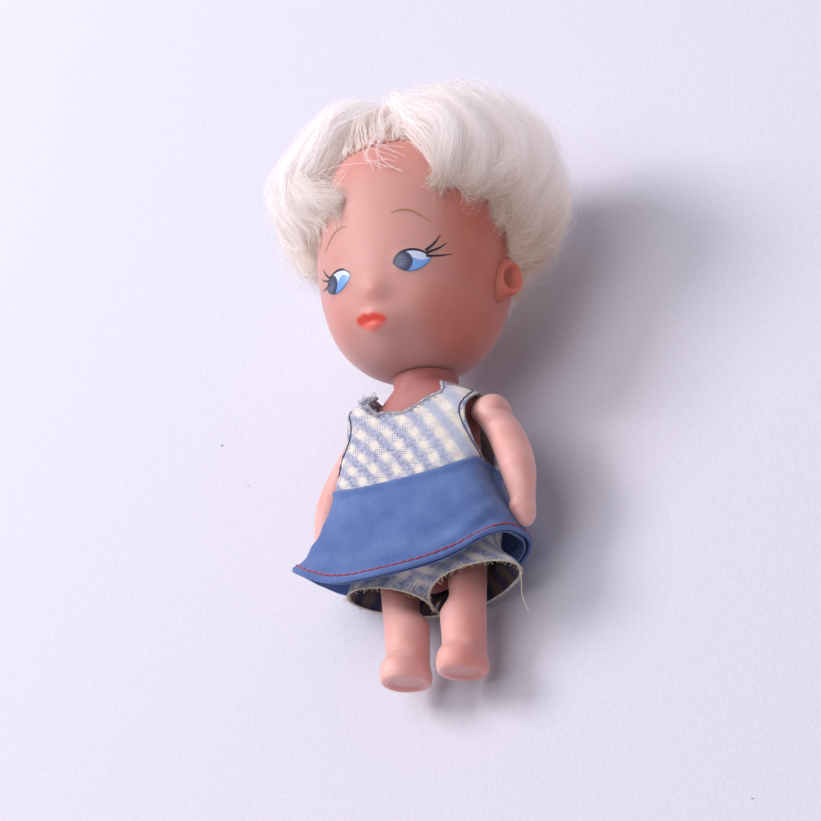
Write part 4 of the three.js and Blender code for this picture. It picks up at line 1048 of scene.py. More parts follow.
def make_arm(side):
    """An arm that tapers to a hand with a thumb's edge, and its round shoulder disc."""
    sides, steps = 40, 60
    inside = SHOULDER_RECESS + CLEARANCE
    disc_half = UPPER_ARM + 0.1
    disc = inside + disc_half
    spread = (LEFT_ARM_SPREAD if side == LEFT else RIGHT_ARM_SPREAD) * DEGREE
    reach = ARM_LENGTH * math.cos(spread)
    radius = curve_through(
        [(0, UPPER_ARM), (0.3, UPPER_ARM), (0.5, UPPER_ARM - 0.15), (0.78, WRIST),
         (0.9, WRIST - 0.15), (0.97, WRIST * 0.62), (1, WRIST * 0.2)]
    )
    rings = []
    for down in 1 - np.linspace(0, 1, steps + 1) ** 1.15:
        bow = ARM_BOW * math.sin(math.pi * down**0.75)
        out = disc + bow + down * ARM_LENGTH * math.sin(spread)
        half = float(radius(down))
        below = min(down * reach, SHOULDER_DISC)
        depth = max(half * 0.92, math.sqrt(SHOULDER_DISC**2 - below**2))
        centre = (side * out, -SHOULDER_DROP - down * reach, 0.3 * math.sin(math.pi * down))
        ring = ring_points(centre, half, depth, 2, sides)
        # The thumb's edge and the moulding's seam.
        lean = (ring - centre) @ np.array([-side * 0.5, 0, 0.86])
        thumb = bump(down - 0.84, 0.05) * smooth(0, 1.2, lean)
        ring[:, 0] -= side * 0.28 * thumb
        ring[:, 2] += 0.3 * thumb
        seam = np.abs(ring[:, 2] - centre[2]) < 0.12
        ring[:, 0] += side * 0.05 * seam * (side * (ring[:, 0] - centre[0]) > 0)
        rings.append(ring)
    rings += dome_rings((side * disc, -SHOULDER_DROP), disc_half, SHOULDER_DISC, 0.8, 2.2, sides)
    for ring in rings:
        ring[:, 0] = side * np.maximum(side * ring[:, 0], inside)
    return limb_object(SIDE_NAME[side] + "_arm_vinyl", rings, LIMB, limb_paint)


def make_leg(side):
    """A leg with its foot, and the round disc at its top that lies beside the torso."""
    sides, steps, squareness = 48, 76, 2.1
    sole = -HIP_DROP - LEG_LENGTH
    inside = HIP_RECESS + CLEARANCE
    disc_half = (LEG_OFFSET + LEG_RADIUS - inside) / 2
    disc = inside + disc_half
    shaft = -HIP_DROP - HIP_DISC * 2
    toe = TOE_PROUD / 2
    stations = [
        (-HIP_DROP, disc_half, disc, HIP_DISC, 0),
        (-HIP_DROP - HIP_DISC * 0.9, disc_half, disc, LEG_RADIUS + 0.5, 0),
        (-HIP_DROP - 5.8, disc_half, disc, LEG_RADIUS + 0.1, 0),
        (shaft, LEG_RADIUS, LEG_OFFSET, LEG_RADIUS, 0),
        (sole + 4.6, LEG_RADIUS - 0.15, LEG_OFFSET, LEG_RADIUS - 0.15, 0),
        (sole + 2.6, LEG_RADIUS, LEG_OFFSET, LEG_RADIUS + toe, toe),
        (sole + 1.2, LEG_RADIUS + 0.2, LEG_OFFSET, LEG_RADIUS + toe + 0.3, toe),
        (sole, LEG_RADIUS, LEG_OFFSET, LEG_RADIUS + toe, toe),
    ]
    half_width, offset, half_depth, forward = (
        curve_through([(row[0], row[k]) for row in stations]) for k in (1, 2, 3, 4)
    )
    rings = []
    # The recessed sole, from its middle out over the rim.
    for share, rise in (
        (0.25, 0.42), (0.55, 0.46), (0.66, 0.45), (0.72, 0.3), (0.76, 0.1), (0.82, 0.0), (0.9, 0.0),
        (0.955, 0.04), (0.985, 0.14),
    ):
        centre = (side * LEG_OFFSET, sole + rise, toe)
        rings.append(ring_points(centre, LEG_RADIUS * share, (LEG_RADIUS + toe) * share, squareness, sides))
    for y in np.linspace(sole + 0.3, -HIP_DROP, steps + 1):
        centre = (side * float(offset(y)), y, float(forward(y)))
        rings.append(ring_points(centre, float(half_width(y)), float(half_depth(y)), squareness, sides))
    rings += dome_rings((side * disc, -HIP_DROP), disc_half, HIP_DISC, 0.5, squareness, sides)
    return limb_object(SIDE_NAME[side] + "_leg_vinyl", rings, LIMB, leg_shade_paint)


TORSO_SQUARENESS = 2.4
torso_width = curve_through(
    [(0.2, NECK_RADIUS), (-1, NECK_RADIUS + 1.2), (-2.4, 7.3), (-SHOULDER_DROP, 8.1), (-HIP_DROP / 2, 7.8),
     (-HIP_DROP + 3, 8.6), (-HIP_DROP - 1, 7.8), (-HIP_DROP - 2.8, 5.4), (-HIP_DROP - HIP_DISC, 1.2)]
)
torso_front = curve_through(
    [(0.6, NECK_RADIUS), (-2.2, 4.2), (-7, 4.6), (-HIP_DROP * 0.65, 5.4), (-HIP_DROP + 2, 5.2),
     (-HIP_DROP - 2, 3.8), (-HIP_DROP - HIP_DISC, 0.9)]
)
torso_back = curve_through(
    [(0.6, NECK_RADIUS), (-2.4, 4.1), (-8, 3.9), (-HIP_DROP * 0.6, 4.2), (-HIP_DROP + 3, 4.9),
     (-HIP_DROP - 1.6, 4.1), (-HIP_DROP - HIP_DISC, 0.9)]
)


def make_torso():
    """The torso with its neck, flat where the limbs' discs lie."""
    sides, steps = 72, 150
    _, facing = round_section(1, sides)
    rings = []
    for y in np.linspace(-HIP_DROP - HIP_DISC + 0.1, 1.3, steps):
        half, front, back = (float(curve(y)) for curve in (torso_width, torso_front, torso_back))
        across, forward = round_section(mix(2 / TORSO_SQUARENESS, 1.0, float(smooth(-1.2, 0.2, y))), sides)
        x = half * across
        z = np.where(facing > 0, front, back) * forward
        for limb_y, radius, recess in (
            (-SHOULDER_DROP, SHOULDER_DISC, SHOULDER_RECESS),
            (-HIP_DROP, HIP_DISC, HIP_RECESS),
        ):
            near = np.hypot(y - limb_y, z) < radius + CLEARANCE
            below = (y < limb_y) & (np.abs(z) < radius + CLEARANCE) & (limb_y == -HIP_DROP)
            x = np.where(near | below, np.clip(x, -recess, recess), x)
        rings.append(np.stack([x, np.full(sides, y), z], axis=1))
    # The rolled lip at the top of the neck.
    lip = ((1.0, 1.35), (1.03, 1.45), (1.03, 1.55), (0.98, 1.62), (0.8, 1.66), (0.64, 1.7), (0.62, 3.0))
    for share, y in lip:
        rings.append(ring_points((0, y, 0), NECK_RADIUS * share, NECK_RADIUS * share, 2, sides))
    return limb_object("torso_vinyl", rings, TORSO, limb_paint)


# Dress and bloomers.
SHOULDER_CLOTH, NECKLINE_WIDTH, BAND_TOP_WIDTH, BAND_TOP_DEPTH = 11.6, 5.4, 12.6, 7.7
DRESS_SHIFT, ARM_TUCK, DRESS_SQUARENESS = 0.7, 0.12, 3
BAND_SEAM, BAND_SEAM_SIDE = 15.8, 13.4
HEM, HEM_SIDE, HEM_BACK, HEM_TILT = 30.0, 25.0, 28.2, 0.9
HEM_WIDTH, HEM_FRONT, HEM_BACK_DEPTH, HEM_SHIFT = 17.3, 9.5, 7.6, 1.7
NECKLINE, NECKLINE_BACK, SHOULDER_SEAM, SEAM_SPREAD = 5.2, 1.8, 0.3, 38
CHEST_DEPTH, DRESS_EASE, BACK_EASE = 4.6, 0.55, 3.4
ARMHOLE_HEIGHT, ARMHOLE_DEPTH, ARMHOLE_EASE = 6.5, 4.6, 1.3
ARMHOLE_CENTRE = -SHOULDER_DROP + SHOULDER_DISC + 3 * CLEARANCE + ARMHOLE_EASE - ARMHOLE_HEIGHT
SNUG = DRESS_EASE + CLOTH
THIN_CLOTH, BAND_CLOTH = 0.3, 0.35
LEFT_SLIP, RIGHT_SLIP = 1.6, 1.1

bodice_width = curve_through(
    [(-SHOULDER_SEAM + 0.7, NECKLINE_WIDTH), (-SHOULDER_SEAM - 0.3, NECKLINE_WIDTH + 2.9),
     (-SHOULDER_SEAM - 1.7, SHOULDER_CLOTH - 1), (-SHOULDER_DROP, SHOULDER_CLOTH),
     (-SHOULDER_DROP - 4.3, SHOULDER_CLOTH + 0.2), (-BAND_SEAM_SIDE, BAND_TOP_WIDTH)]
)
bodice_front_depth = curve_through(
    [(-SHOULDER_SEAM + 0.7, NECK_RADIUS + 0.6), (-2, CHEST_DEPTH + SNUG - 0.4),
     (-7, CHEST_DEPTH + SNUG + 0.2), (-BAND_SEAM, BAND_TOP_DEPTH)]
)
bodice_back_depth = curve_through(
    [(-SHOULDER_SEAM + 0.7, NECK_RADIUS + 0.8), (-2.5, CHEST_DEPTH + BACK_EASE - 1),
     (-7, CHEST_DEPTH + BACK_EASE - 0.7), (-BAND_SEAM, BAND_TOP_DEPTH)]
)


def level(angle, front, side, back=None):
    """A drop round the dress, from its values at the front, the sides and the back."""
    centre = np.where(np.cos(angle) > 0, front, front if back is None else back)
    return mix(centre, side, np.sin(angle) ** 2)


def dress_shift(y):
    """How far the dress hangs to the doll's right: least at the neck."""
    return DRESS_SHIFT * smooth(-1, 1.8, -y - SHOULDER_SEAM) + 0.3 + 0.5 * smooth(4, 12, -y)


def round_body(angle, y, half_width, front, back):
    """The dress at an angle round it, shifted to the doll's right and tucked in by the arms."""
    facing = np.cos(angle)
    depth = np.where(facing > 0, front, back)
    power = 2 / DRESS_SQUARENESS
    beside = smooth(SHOULDER_DROP, BAND_SEAM_SIDE, -y) * (1 - smooth(BAND_SEAM, HEM_SIDE, -y))
    tuck = 1 - ARM_TUCK * beside * (1 - smooth(0, 0.75, facing))
    x = half_width * tuck * signed_power(np.sin(angle), power) - dress_shift(y)
    return np.stack(np.broadcast_arrays(x, y, depth * signed_power(facing, power)), axis=-1)


def bodice_at(angle, y, inset=0.0):
    """The bodice at an angle round it and a height, before it slips."""
    depths = bodice_front_depth(y) - inset, bodice_back_depth(y) - inset
    return round_body(angle, y, bodice_width(y) - inset, *depths)


def slipped(points):
    """Cloth of the bodice where it has slipped off the shoulders."""
    x, y = points[..., 0], points[..., 1]
    drop = LEFT_SLIP * smooth(2, 6, x) + RIGHT_SLIP * bump(x + 5.4, 1.6)
    points[..., 1] = y - drop * smooth(-7, -1, y)
    return points


def neckline(angle):
    """The height of the neck's edge, which dips in front and behind."""
    turned = np.arccos(np.cos(angle))
    dip = np.where(turned < math.pi / 2, NECKLINE, NECKLINE_BACK)
    from_middle = np.minimum(turned, math.pi - turned)
    return -mix(dip, SHOULDER_SEAM, np.clip(from_middle / (SEAM_SPREAD * DEGREE), 0, 1))


def grid_area(points):
    """Area of a cloth grid, in square millimetres."""
    a, b = points[:-1, :-1], points[1:, 1:]
    c, d = points[1:, :-1], points[:-1, 1:]
    return float(np.linalg.norm(np.cross(b - a, d - c), axis=2).sum() / 2)


def declare_sheet(points, keep=1.0):
    """Works out the width, length and area of a cloth piece from the grid that it was laid out on, and keeps
    none of them.
    """
    width = np.linalg.norm(np.diff(points, axis=1), axis=2).sum(1).max()
    length = np.linalg.norm(np.diff(points, axis=0), axis=2).sum(0).max()
    area = min(grid_area(points) * keep, width * length)


def wrinkle(points, amount, seed):
    """Soft random folds over a cloth grid, in millimetres."""
    rows, columns = points.shape[:2]
    local = np.random.default_rng(seed)
    x, y = grid_axes(columns - 1, rows - 1)
    folds = 9
    height = np.zeros((rows, columns))
    for _ in range(folds):
        a, b = local.uniform(2, 9, 2) * math.pi
        height += np.sin(a * x + local.uniform(0, 6)) * np.sin(b * y + local.uniform(0, 6))
    return height / folds * amount


def offset_grid(points, height):
    """Moves a grid along its own normals."""
    across = np.gradient(points, axis=1)
    down = np.gradient(points, axis=0)
    normal = unit(np.cross(down, across))
    outward = np.sign((normal * (points * [1, 0, 1])).sum(axis=2, keepdims=True))
    return points + normal * outward * height[..., None]


def armhole_cut(points):
    """How far each point lies from an armhole's middle: 1 is the armhole's edge."""
    side = np.abs(points[..., 0] + 1) > NECK_RADIUS + 1.6
    share = np.hypot((points[..., 1] - ARMHOLE_CENTRE) / ARMHOLE_HEIGHT, points[..., 2] / ARMHOLE_DEPTH)
    return np.where(side, share, 2)


def bodice_piece(name, start, end, seed):
    """One panel of the bodice between two angles, in degrees, cut out at the armholes."""
    columns, rows = 220, 130
    angle, share = grid_axes(columns, rows, start * DEGREE, end * DEGREE)
    bottom = -level(angle, BAND_SEAM, BAND_SEAM_SIDE) + CLEARANCE / 2 - 0.9
    points = bodice_at(angle, mix(neckline(angle), bottom, share))
    tuck = 0.5 * smooth(0.93, 1.0, share)
    points = offset_grid(points, wrinkle(points, 0.3, seed) * smooth(0, 0.2, share) - tuck)
    inside = armhole_cut(points)
    points = slipped(points)
    faces = grid_faces(columns, rows)
    kept = faces[np.all(inside.ravel()[faces] > 1.0, axis=1)]
    # The cloth is pulled askew, more so on the doll's right.
    x, y, _ = points.reshape(-1, 3).T
    threads = np.stack([x + (0.2 - 0.025 * x) * (y + 9), -y], axis=1)
    made = new_object(name, points.reshape(-1, 3), kept[:, ::-1], GINGHAM, uv=threads)
    thicken(made, THIN_CLOTH)
    declare_sheet(points, keep=len(kept) / len(faces))
    return made


def armhole_path(side, grow, inset=0.0, count=120):
    """A closed line round an armhole on the bodice's face."""
    turn = np.arange(count) * TURN / count
    y = ARMHOLE_CENTRE + (ARMHOLE_HEIGHT + grow) * np.cos(turn)
    z = (ARMHOLE_DEPTH + 0.4 * grow) * np.sin(turn)
    low, high = np.zeros(count), np.full(count, math.pi)
    for _ in range(30):
        middle = (low + high) / 2
        ahead = bodice_at(middle, y, inset)[:, 2] > z
        low, high = np.where(ahead, middle, low), np.where(ahead, high, middle)
    points = bodice_at(low, y, inset)
    points[:, 0] = side * (points[:, 0] + dress_shift(y)) - dress_shift(y)
    return slipped(points)


def armhole_edging(side):
    """The turned fold round the armhole, and the line of thread at its inner edge."""
    name = SIDE_NAME[side]
    rings = [armhole_path(side, grow, inset) for grow, inset in (
        (0.05, 0.42), (-0.12, 0.2), (-0.1, -0.08), (0.12, -0.2), (0.5, -0.2), (0.78, -0.14), (0.86, 0.04)
    )]
    grid = np.stack([np.concatenate([ring, ring[:1]]) for ring in rings])
    count = len(rings[0])
    faces = grid_faces(count, len(rings) - 1)
    fold = new_object(name + "_armhole_fold", grid.reshape(-1, 3), faces, GINGHAM, uv=cloth_uv(grid))
    wobble = 0.05 * np.sin(np.arange(count) * 1.7)[:, None] * np.array([0, 1, 0.4])
    points, faces = tube(armhole_path(side, 0.85, -0.14) + wobble, 0.1, sides=8, closed=True)
    return fold, new_object(name + "_armhole_thread", points, faces, NAVY)


def frayed_thread(start, reach, sag, steps, radius):
    """A thread that has come out of a cut edge, and sags on its way."""
    line = spline([start, start + reach * 0.5 + sag, start + reach], np.linspace(0, 1, steps))
    return tube(line, radius, sides=4)


def neckline_edging():
    """The rolled edge of the neck, wound with thread, and frayed on the doll's right."""
    count = 260
    angle = np.arange(count) * TURN / count
    path = slipped(bodice_at(angle, neckline(angle) + 0.1, 0.1))
    radius = 0.27 + 0.06 * np.sin(np.arange(count) * 1.15)
    parts = [tube(path, radius, sides=12, closed=True)]
    local = np.random.default_rng(5)
    for _ in range(110):
        at = math.radians(local.normal(-22, 20))
        start = slipped(bodice_at(np.array(at), float(neckline(np.array(at))) + local.uniform(-0.6, 0.3)))
        reach = np.array([local.normal(-0.3, 0.5), local.uniform(-0.3, 0.8), local.normal(0.4, 0.3)])
        sag = np.array([local.normal(0, 0.2), -0.1, local.normal(0.1, 0.15)])
        parts.append(frayed_thread(start, reach, sag, 7, 0.035))
    points, faces = merged(parts)
    return new_object("neckline_roll", points, faces, EDGE)


def band_at(angle, share, inset=0.0):
    """The skirt band at an angle round it and a share of the way down from its seam."""
    top = -level(angle, BAND_SEAM, BAND_SEAM_SIDE) - CLEARANCE / 2
    # The hem hangs a little higher on the doll's right.
    bottom = HEM_TILT * smooth(0.1, 0.8, -np.sin(angle)) - level(angle, HEM, HEM_SIDE, HEM_BACK)
    y = mix(top, bottom, share)
    ripple = 0.25 * share * np.cos(7 * angle)
    points = round_body(
        angle,
        y,
        mix(BAND_TOP_WIDTH, HEM_WIDTH, share**1.3) - inset,
        mix(BAND_TOP_DEPTH, HEM_FRONT + ripple, share) - inset,
        mix(BAND_TOP_DEPTH, HEM_BACK_DEPTH + 0.4, share) - inset,
    )
    points[..., 0] -= HEM_SHIFT * share**3
    return points


def band_piece(name, start, end, seed):
    """One panel of the skirt band, with soft folds that grow towards the hem."""
    columns, rows = 200, 100
    angle, share = grid_axes(columns, rows, start * DEGREE, end * DEGREE)
    points = band_at(angle, share)
    settle = np.sin(math.pi * np.linspace(0, 1, columns + 1)) ** 0.5
    points = offset_grid(points, wrinkle(points, 0.9, seed) * smooth(0.05, 0.9, share) * settle)
    # The seam's turned edge stands a little proud, and the hem is rounded where it turns up.
    seam = 0.3 * bump(share - 0.03, 0.04)
    turned_up = 0.25 * smooth(0.9, 0.97, share) - 0.3 * smooth(0.97, 1, share)
    points = above_table(offset_grid(points, seam + turned_up), 0.05)
    made = cloth_object(name, points, BLUE, BAND_CLOTH, flip=True)
    declare_sheet(points)
    return made, points


def hem_fold():
    """The hem's allowance, turned up inside the band."""
    angle, share = grid_axes(260, 14, 0, TURN)
    points = above_table(band_at(angle, 1 - 0.15 * share, 0.75), 0.8)
    return cloth_object("hem_allowance", points, BLUE, THIN_CLOTH)


STITCH_PITCH, STITCH_RADIUS = 1.25, 0.14


def topstitch(points, share, name):
    """Red stitches along one line of a cloth grid: short rounded lengths, half sunk."""
    line = spline(points, np.array([share]))[0]
    steps = np.linalg.norm(np.diff(line, axis=0), axis=1)
    run = np.concatenate([[0], np.cumsum(steps)])
    local = np.random.default_rng(3)
    parts = []
    for k in range(int(run[-1] / STITCH_PITCH)):
        start = (k + 0.02) * STITCH_PITCH
        place = np.linspace(start, start + 0.97 * STITCH_PITCH, 9)
        path = np.stack([np.interp(place, run, line[:, axis]) for axis in range(3)], axis=1)
        t = np.linspace(-1, 1, 9)
        path = path + unit(path * [1, 0, 1]) * (0.1 - 0.12 * t**4)[:, None]
        path[:, 1] += 0.06 * t + local.normal(0, 0.025)
        parts.append(tube(path, STITCH_RADIUS * np.sqrt(np.maximum(1 - t**6, 0.06)), sides=8))
    stitches, faces = merged(parts)
    return new_object(name, stitches, faces, RED)


WAISTBAND, OPENING_WIDTH, OPENING_FRONT, OPENING_BACK = 15.6, 6.4, 5.6, 5.9
OPENING_FRONT_DROP, OPENING_BACK_DROP, INSEAM_DROP = 27.7, 30.8, 33.0
BLOOMERS_STANDOFF = 0.95 + CLOTH
INSEAM = -0.04


def bloomers_at(side, u, v):
    """The bloomers' half on one side: u from its front seam round to the back, v down from the
    waist. Round the hips it follows the torso, and each leg ends in an opening of its own."""
    opening = mix(OPENING_FRONT_DROP, OPENING_BACK_DROP, u)
    rim = mix(INSEAM_DROP, opening, np.sin(math.pi * u))
    y = -mix(WAISTBAND, rim, v)
    at = np.maximum(y, -HIP_DROP + 2)
    half = torso_width(at) + BLOOMERS_STANDOFF
    depth = np.where(u < 0.5, torso_front(at), torso_back(at)) + BLOOMERS_STANDOFF
    hip = math.pi * u
    upper_x = INSEAM + (half - INSEAM) * signed_power(np.sin(hip), 2 / TORSO_SQUARENESS)
    upper_z = depth * signed_power(np.cos(hip), 2 / TORSO_SQUARENESS)
    around = mix(-math.pi / 2 + 0.04, 1.5 * math.pi - 0.04, u)
    lower_x = INSEAM + OPENING_WIDTH * (1 + np.sin(around))
    lower_z = (OPENING_FRONT - OPENING_BACK + (OPENING_FRONT + OPENING_BACK) * np.cos(around)) / 2
    leg = smooth(0.7, 1, v)
    return np.stack([side * mix(upper_x, lower_x, leg), y, mix(upper_z, lower_z, leg)], axis=-1)


def bloomers_piece(side):
    """Half of the bloomers, puckered at the waist, with a flared leg, and its frayed edging."""
    u, v = grid_axes(150, 110)
    points = bloomers_at(side, u, v)
    gathers = 0.3 * np.sin(u * 34) * smooth(0.35, 0, v)
    flutes = 0.4 * np.sin(u * 15 + 1) * smooth(0.55, 1, v)
    settle = np.sin(math.pi * u) ** 0.4
    points = offset_grid(points, (wrinkle(points, 0.8, 21 + side) + gathers + flutes) * settle)
    points = above_table(points, 0.5)
    name = "bloomers_" + SIDE_NAME[side]
    made = cloth_object(name, points, GINGHAM, THIN_CLOTH, flip=side == LEFT, lining=SHADED_LINING)
    declare_sheet(points)
    rim = points[-1]
    parts = [tube(rim, 0.13 + 0.04 * np.sin(np.arange(len(rim)) * 1.3), sides=8)]
    local = np.random.default_rng(31 + side)
    for _ in range(150):
        at = rim[local.integers(1, len(rim) - 1)]
        reach = np.array([local.normal(0, 0.3), -local.uniform(0.05, 0.7), local.normal(0, 0.3)])
        sag = np.array([local.normal(0, 0.12), 0, local.normal(0, 0.12)])
        parts.append(frayed_thread(at, reach, sag, 5, 0.03))
    if side == LEFT:
        # One longer thread hangs from the left leg.
        outermost = rim[np.argmax(rim[:, 0])]
        turns = [(0, 0, 0), (0.6, -2, 0.4), (0.1, -4.3, -0.6), (0.7, -6.6, -1.2)]
        hanging = spline([outermost + turn for turn in turns], np.linspace(0, 1, 16))
        parts.append(tube(above_table(hanging, 0.1), 0.06, sides=6))
    edge_points, edge_faces = merged(parts)
    return made, new_object(name + "_edging", edge_points, edge_faces, CREAM)


def waist_elastic():
    """The puckered tape in the bloomers' waist."""
    angle, down = grid_axes(240, 10, 0, TURN)
    y = -WAISTBAND - 0.3 - down * 2.0
    ease = 0.6 + 0.12 * np.sin(angle * 40)
    across = signed_power(np.sin(angle), 2 / TORSO_SQUARENESS)
    forward = signed_power(np.cos(angle), 2 / TORSO_SQUARENESS)
    depth = np.where(np.cos(angle) > 0, torso_front(y), torso_back(y)) + ease
    points = np.stack([(torso_width(y) + ease) * across, y, depth * forward], axis=-1)
    return cloth_object("elastic_tape", points, ELASTIC, THIN_CLOTH, flip=True)


SNAP_LEVEL, SOCKET_HEIGHT, STUD_HEIGHT = -5.2, 0.7, 0.4


def back_opening():
    """The placket strip under the back edges, and the two pressed halves of the snap."""
    socket_top = float(bodice_back_depth(SNAP_LEVEL)) - CLOTH - CLEARANCE
    stud_top = socket_top - SOCKET_HEIGHT - CLEARANCE
    strip_top = stud_top - STUD_HEIGHT - CLEARANCE
    x, down = grid_axes(24, 50, -2.2, 2.2)
    y = -3 - 11 * down
    z = -strip_top + 0.08 * np.sin(y * 1.3) * np.cos(x)
    strip = cloth_object("placket_strip", np.stack([x, y, z], axis=-1), GINGHAM, THIN_CLOTH)
    socket_outline = [
        (0.75, 0), (1.62, 0), (1.7, 0.08), (1.7, 0.34), (1.5, 0.5), (1.2, 0.46), (1.05, 0.62),
        (0.85, SOCKET_HEIGHT), (0.75, 0.6), (0.75, 0),
    ]
    stud_outline = [
        (0.01, 0), (1.6, 0), (1.7, 0.1), (1.6, 0.3), (0.9, STUD_HEIGHT), (0.45, 0.45), (0.4, 0.8),
        (0.46, 0.98), (0.3, 1.08), (0.01, 1.1),
    ]
    socket = turned_piece("snap_socket_metal", SOCKET_HEIGHT - socket_top, socket_outline)
    stud = turned_piece("snap_stud_metal", STUD_HEIGHT - stud_top, stud_outline)
    return strip, socket, stud


def turned_piece(name, z, outline):
    """A turned piece whose axis runs out of the doll's back, from depth z."""
    sides = 48
    across, up = round_section(1, sides)
    rings = [
        np.stack([radius * up, SNAP_LEVEL + radius * across, np.full(sides, z - rise)], axis=1)
        for radius, rise in outline
    ]
    return new_object(name, np.concatenate(rings), grid_faces(sides, len(rings) - 1, closed=True), METAL)


# Making and mounting the pieces.
def mount(made, body, slot, *replaced):
    """Fastens a piece to a body of the CAD model, in place of the nodes that it stands for."""
    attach(made, body)
    if replaced:
        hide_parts(*replaced)
    return made


mount(make_head(), "head", "skin_vinyl", "head_shell")
for side, word in SIDE_NAME.items():
    mount(make_ear(side), "head", "skin_vinyl")
    mount(make_eye(side), "head", "skin_vinyl")
    mount(make_arm(side), word + "_arm", "skin_vinyl", word + "_arm")
    mount(make_leg(side), word + "_leg", "skin_vinyl", word + "_leg")
mount(make_strokes(), "head", "skin_vinyl")
mount(make_torso(), "torso", "torso_plastic", "torso_shell")

for name, guides in LOCKS.items():
    for piece in make_lock(name, guides):
        mount(piece, "head", "hair_fibre", name)
core = make_core("hair_crown", CROWN)
crown = strands(
    "hair_crown_strands", CROWN, CROWN_STRANDS, lambda n: 0.7 + 0.32 * rng.random(n), clumps=((40, 0.4),)
)
veil = strands(
    "hair_hairline_strands", VEIL, VEIL_STRANDS, lambda n: 0.3 + 0.7 * rng.random(n),
    clumps=((12, 0.3),), width=0.055,
)
for name, piece in (("hair_crown", core), ("hair_crown", crown), ("hair_hairline", veil)):
    mount(piece, "head", "hair_fibre", name)
mount(stray_hairs(), "head", "hair_fibre")
mount(rooting_holes(), "head", "skin_vinyl")

# The dress's panels, with the angles in degrees that each reaches round the doll, and the seeds
# of the bodice's and the band's folds.
PANELS = (("front", -90, 90, 1, 16), ("back_left", 90, 179.4, 2, 20), ("back_right", 180.6, 270, 3, 21))
for panel, start, end, seed, _ in PANELS:
    bodice = bodice_piece(f"bodice_{panel}_cloth", start, end, seed)
    mount(bodice, "torso", "gingham_cotton", "bodice_" + panel)
for side, word in SIDE_NAME.items():
    fold, thread = armhole_edging(side)
    mount(fold, "torso", "gingham_cotton")
    mount(thread, "torso", "edging_cotton", word + "_armhole_edging")
mount(neckline_edging(), "torso", "edging_cotton", "neckline_edging")

for panel, start, end, _, seed in PANELS:
    band, grid = band_piece(f"band_{panel}_cloth", start, end, seed)
    mount(band, "torso", "blue_cotton", "skirt_band_" + panel)
    mount(topstitch(grid, 0.925, f"band_{panel}_topstitch"), "torso", "blue_cotton")
mount(hem_fold(), "torso", "blue_cotton", "skirt_hem_fold")

for side, word in SIDE_NAME.items():
    start = to_row([side * 2.0, -25.0, 0.0])
    end = to_row([side * 9.0, -31.0, 0.0])
    cloth, edging = bloomers_piece(side)
    for made, slot, node in ((cloth, "gingham_cotton", "panel"), (edging, "cream_edging", "edging")):
        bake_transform(made)
        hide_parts(f"bloomers_{word}_{node}")
mount(waist_elastic(), "torso", "elastic", "waist_elastic")
strip, socket, stud = back_opening()
mount(strip, "torso", "gingham_cotton", "back_placket")
mount(socket, "torso", "snap_metal", "snap_socket")
mount(stud, "torso", "snap_metal", "snap_stud")


# Floor, light and camera.
def make_floor():
    """A sheet of white paper with a few specks of lint on it."""
    paper = Surface("paper", Roughness=0.9, Specular_IOR_Level=0.1)
    fibres = paper.noise(0.7, detail=5, roughness=0.7)
    paper.colour(fibres.between(0.2, 0.8).blend(linear(211, 208, 221), linear(217, 214, 226)))
    paper.relief(fibres, 0.12)
    bpy.ops.mesh.primitive_plane_add(size=4, location=(0, 0, 0))
    floor = bpy.context.object
    floor.name = "floor"
    floor.data.materials.append(paper.material)
    specks = []
    for x, y, radius in ((-0.046, 0.01, 0.00018), (-0.04, 0.001, 0.00012), (0.043, -0.066, 0.00014)):
        place = (x, y, radius * 0.3)
        bpy.ops.mesh.primitive_uv_sphere_add(segments=8, ring_count=6, radius=radius, location=place)
        speck = bpy.context.object
        speck.scale = (1.6, 0.8, 0.5)
        speck.name = f"speck_{len(specks)}"
        speck.data.materials.append(EDGE)
        specks.append(speck)


def area_light(name, direction, distance, size, power, colour):
    """A square light that shines along a direction at the doll, from that distance."""
    direction = unit(np.array(direction, float))
    data = bpy.data.lights.new(name, "AREA")
    data.size = size
    data.energy = power
    data.color = colour
    made = bpy.data.objects.new(name, data)
    made.location = Vector(-direction * distance)
    made.rotation_euler = Vector(direction).to_track_quat("-Z", "Y").to_euler()
    bpy.context.scene.collection.objects.link(made)


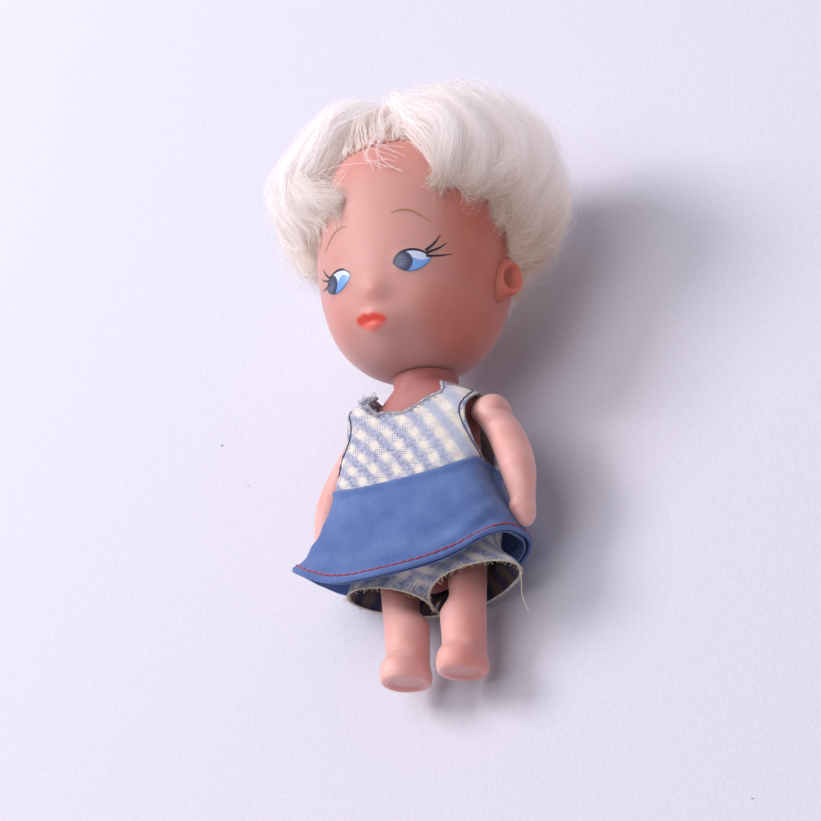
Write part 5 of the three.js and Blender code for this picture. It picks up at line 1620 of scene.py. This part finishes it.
def make_light():
    """A window on the left, the pale room on its side, and a faint light from all round."""
    area_light("window", (16.6, -6.4, -20), 0.9, 0.36, 5.6, (1.0, 0.985, 0.99))
    area_light("room", (4, 1, -20), 1.3, 1.1, 8.6, (0.97, 0.96, 1.0))
    world = bpy.data.worlds.new("ambient")
    world.use_nodes = True
    world.node_tree.nodes["Background"].inputs["Color"].default_value = (0.95, 0.94, 1.0, 1)
    world.node_tree.nodes["Background"].inputs["Strength"].default_value = 0.36
    bpy.context.scene.world = world


# Where the picture is taken from, in the body frame: out of the picture, and to its right.
VIEW_BACK = np.array([0.443, -0.407, 0.799])
VIEW_RIGHT = np.array([0.875, 0.0, -0.485])
PIXEL_MM = 0.1425
PICTURE_PIXELS = 821
NECK_PIXEL = (421.0, 392.0)
CAMERA_DISTANCE = 350.0
ROLL = 2.0
ROLL_PIXEL = (415.0, 240.0)


def make_camera():
    """The camera, placed so that the base of the neck falls on its pixel of the picture."""
    back = unit(VIEW_BACK)
    right = unit(VIEW_RIGHT - back * (VIEW_RIGHT @ back))
    up = np.cross(back, right)
    middle = PICTURE_PIXELS / 2
    # The picture turns about the middle of the head.
    from_neck = (ROLL_PIXEL[0] - NECK_PIXEL[0], NECK_PIXEL[1] - ROLL_PIXEL[1])
    pivot = (right * from_neck[0] + up * from_neck[1]) * PIXEL_MM
    cosine, sine = math.cos(ROLL * DEGREE), math.sin(ROLL * DEGREE)
    right, up = cosine * right - sine * up, cosine * up + sine * right
    aim = pivot + (right * (middle - ROLL_PIXEL[0]) + up * (ROLL_PIXEL[1] - middle)) * PIXEL_MM
    place = to_row(aim + back * CAMERA_DISTANCE)
    turned = Matrix([list(v @ AXES) for v in (right, up, back)]).transposed()
    data = bpy.data.cameras.new("camera")
    data.sensor_width = 36
    data.lens = 36 * CAMERA_DISTANCE / (PICTURE_PIXELS * PIXEL_MM)
    camera = bpy.data.objects.new("camera", data)
    camera.matrix_world = Matrix.Translation(Vector(place)) @ turned.to_4x4()
    bpy.context.scene.collection.objects.link(camera)
    bpy.context.scene.camera = camera


make_floor()
make_light()
make_camera()
bpy.context.scene.view_settings.view_transform = "Standard"
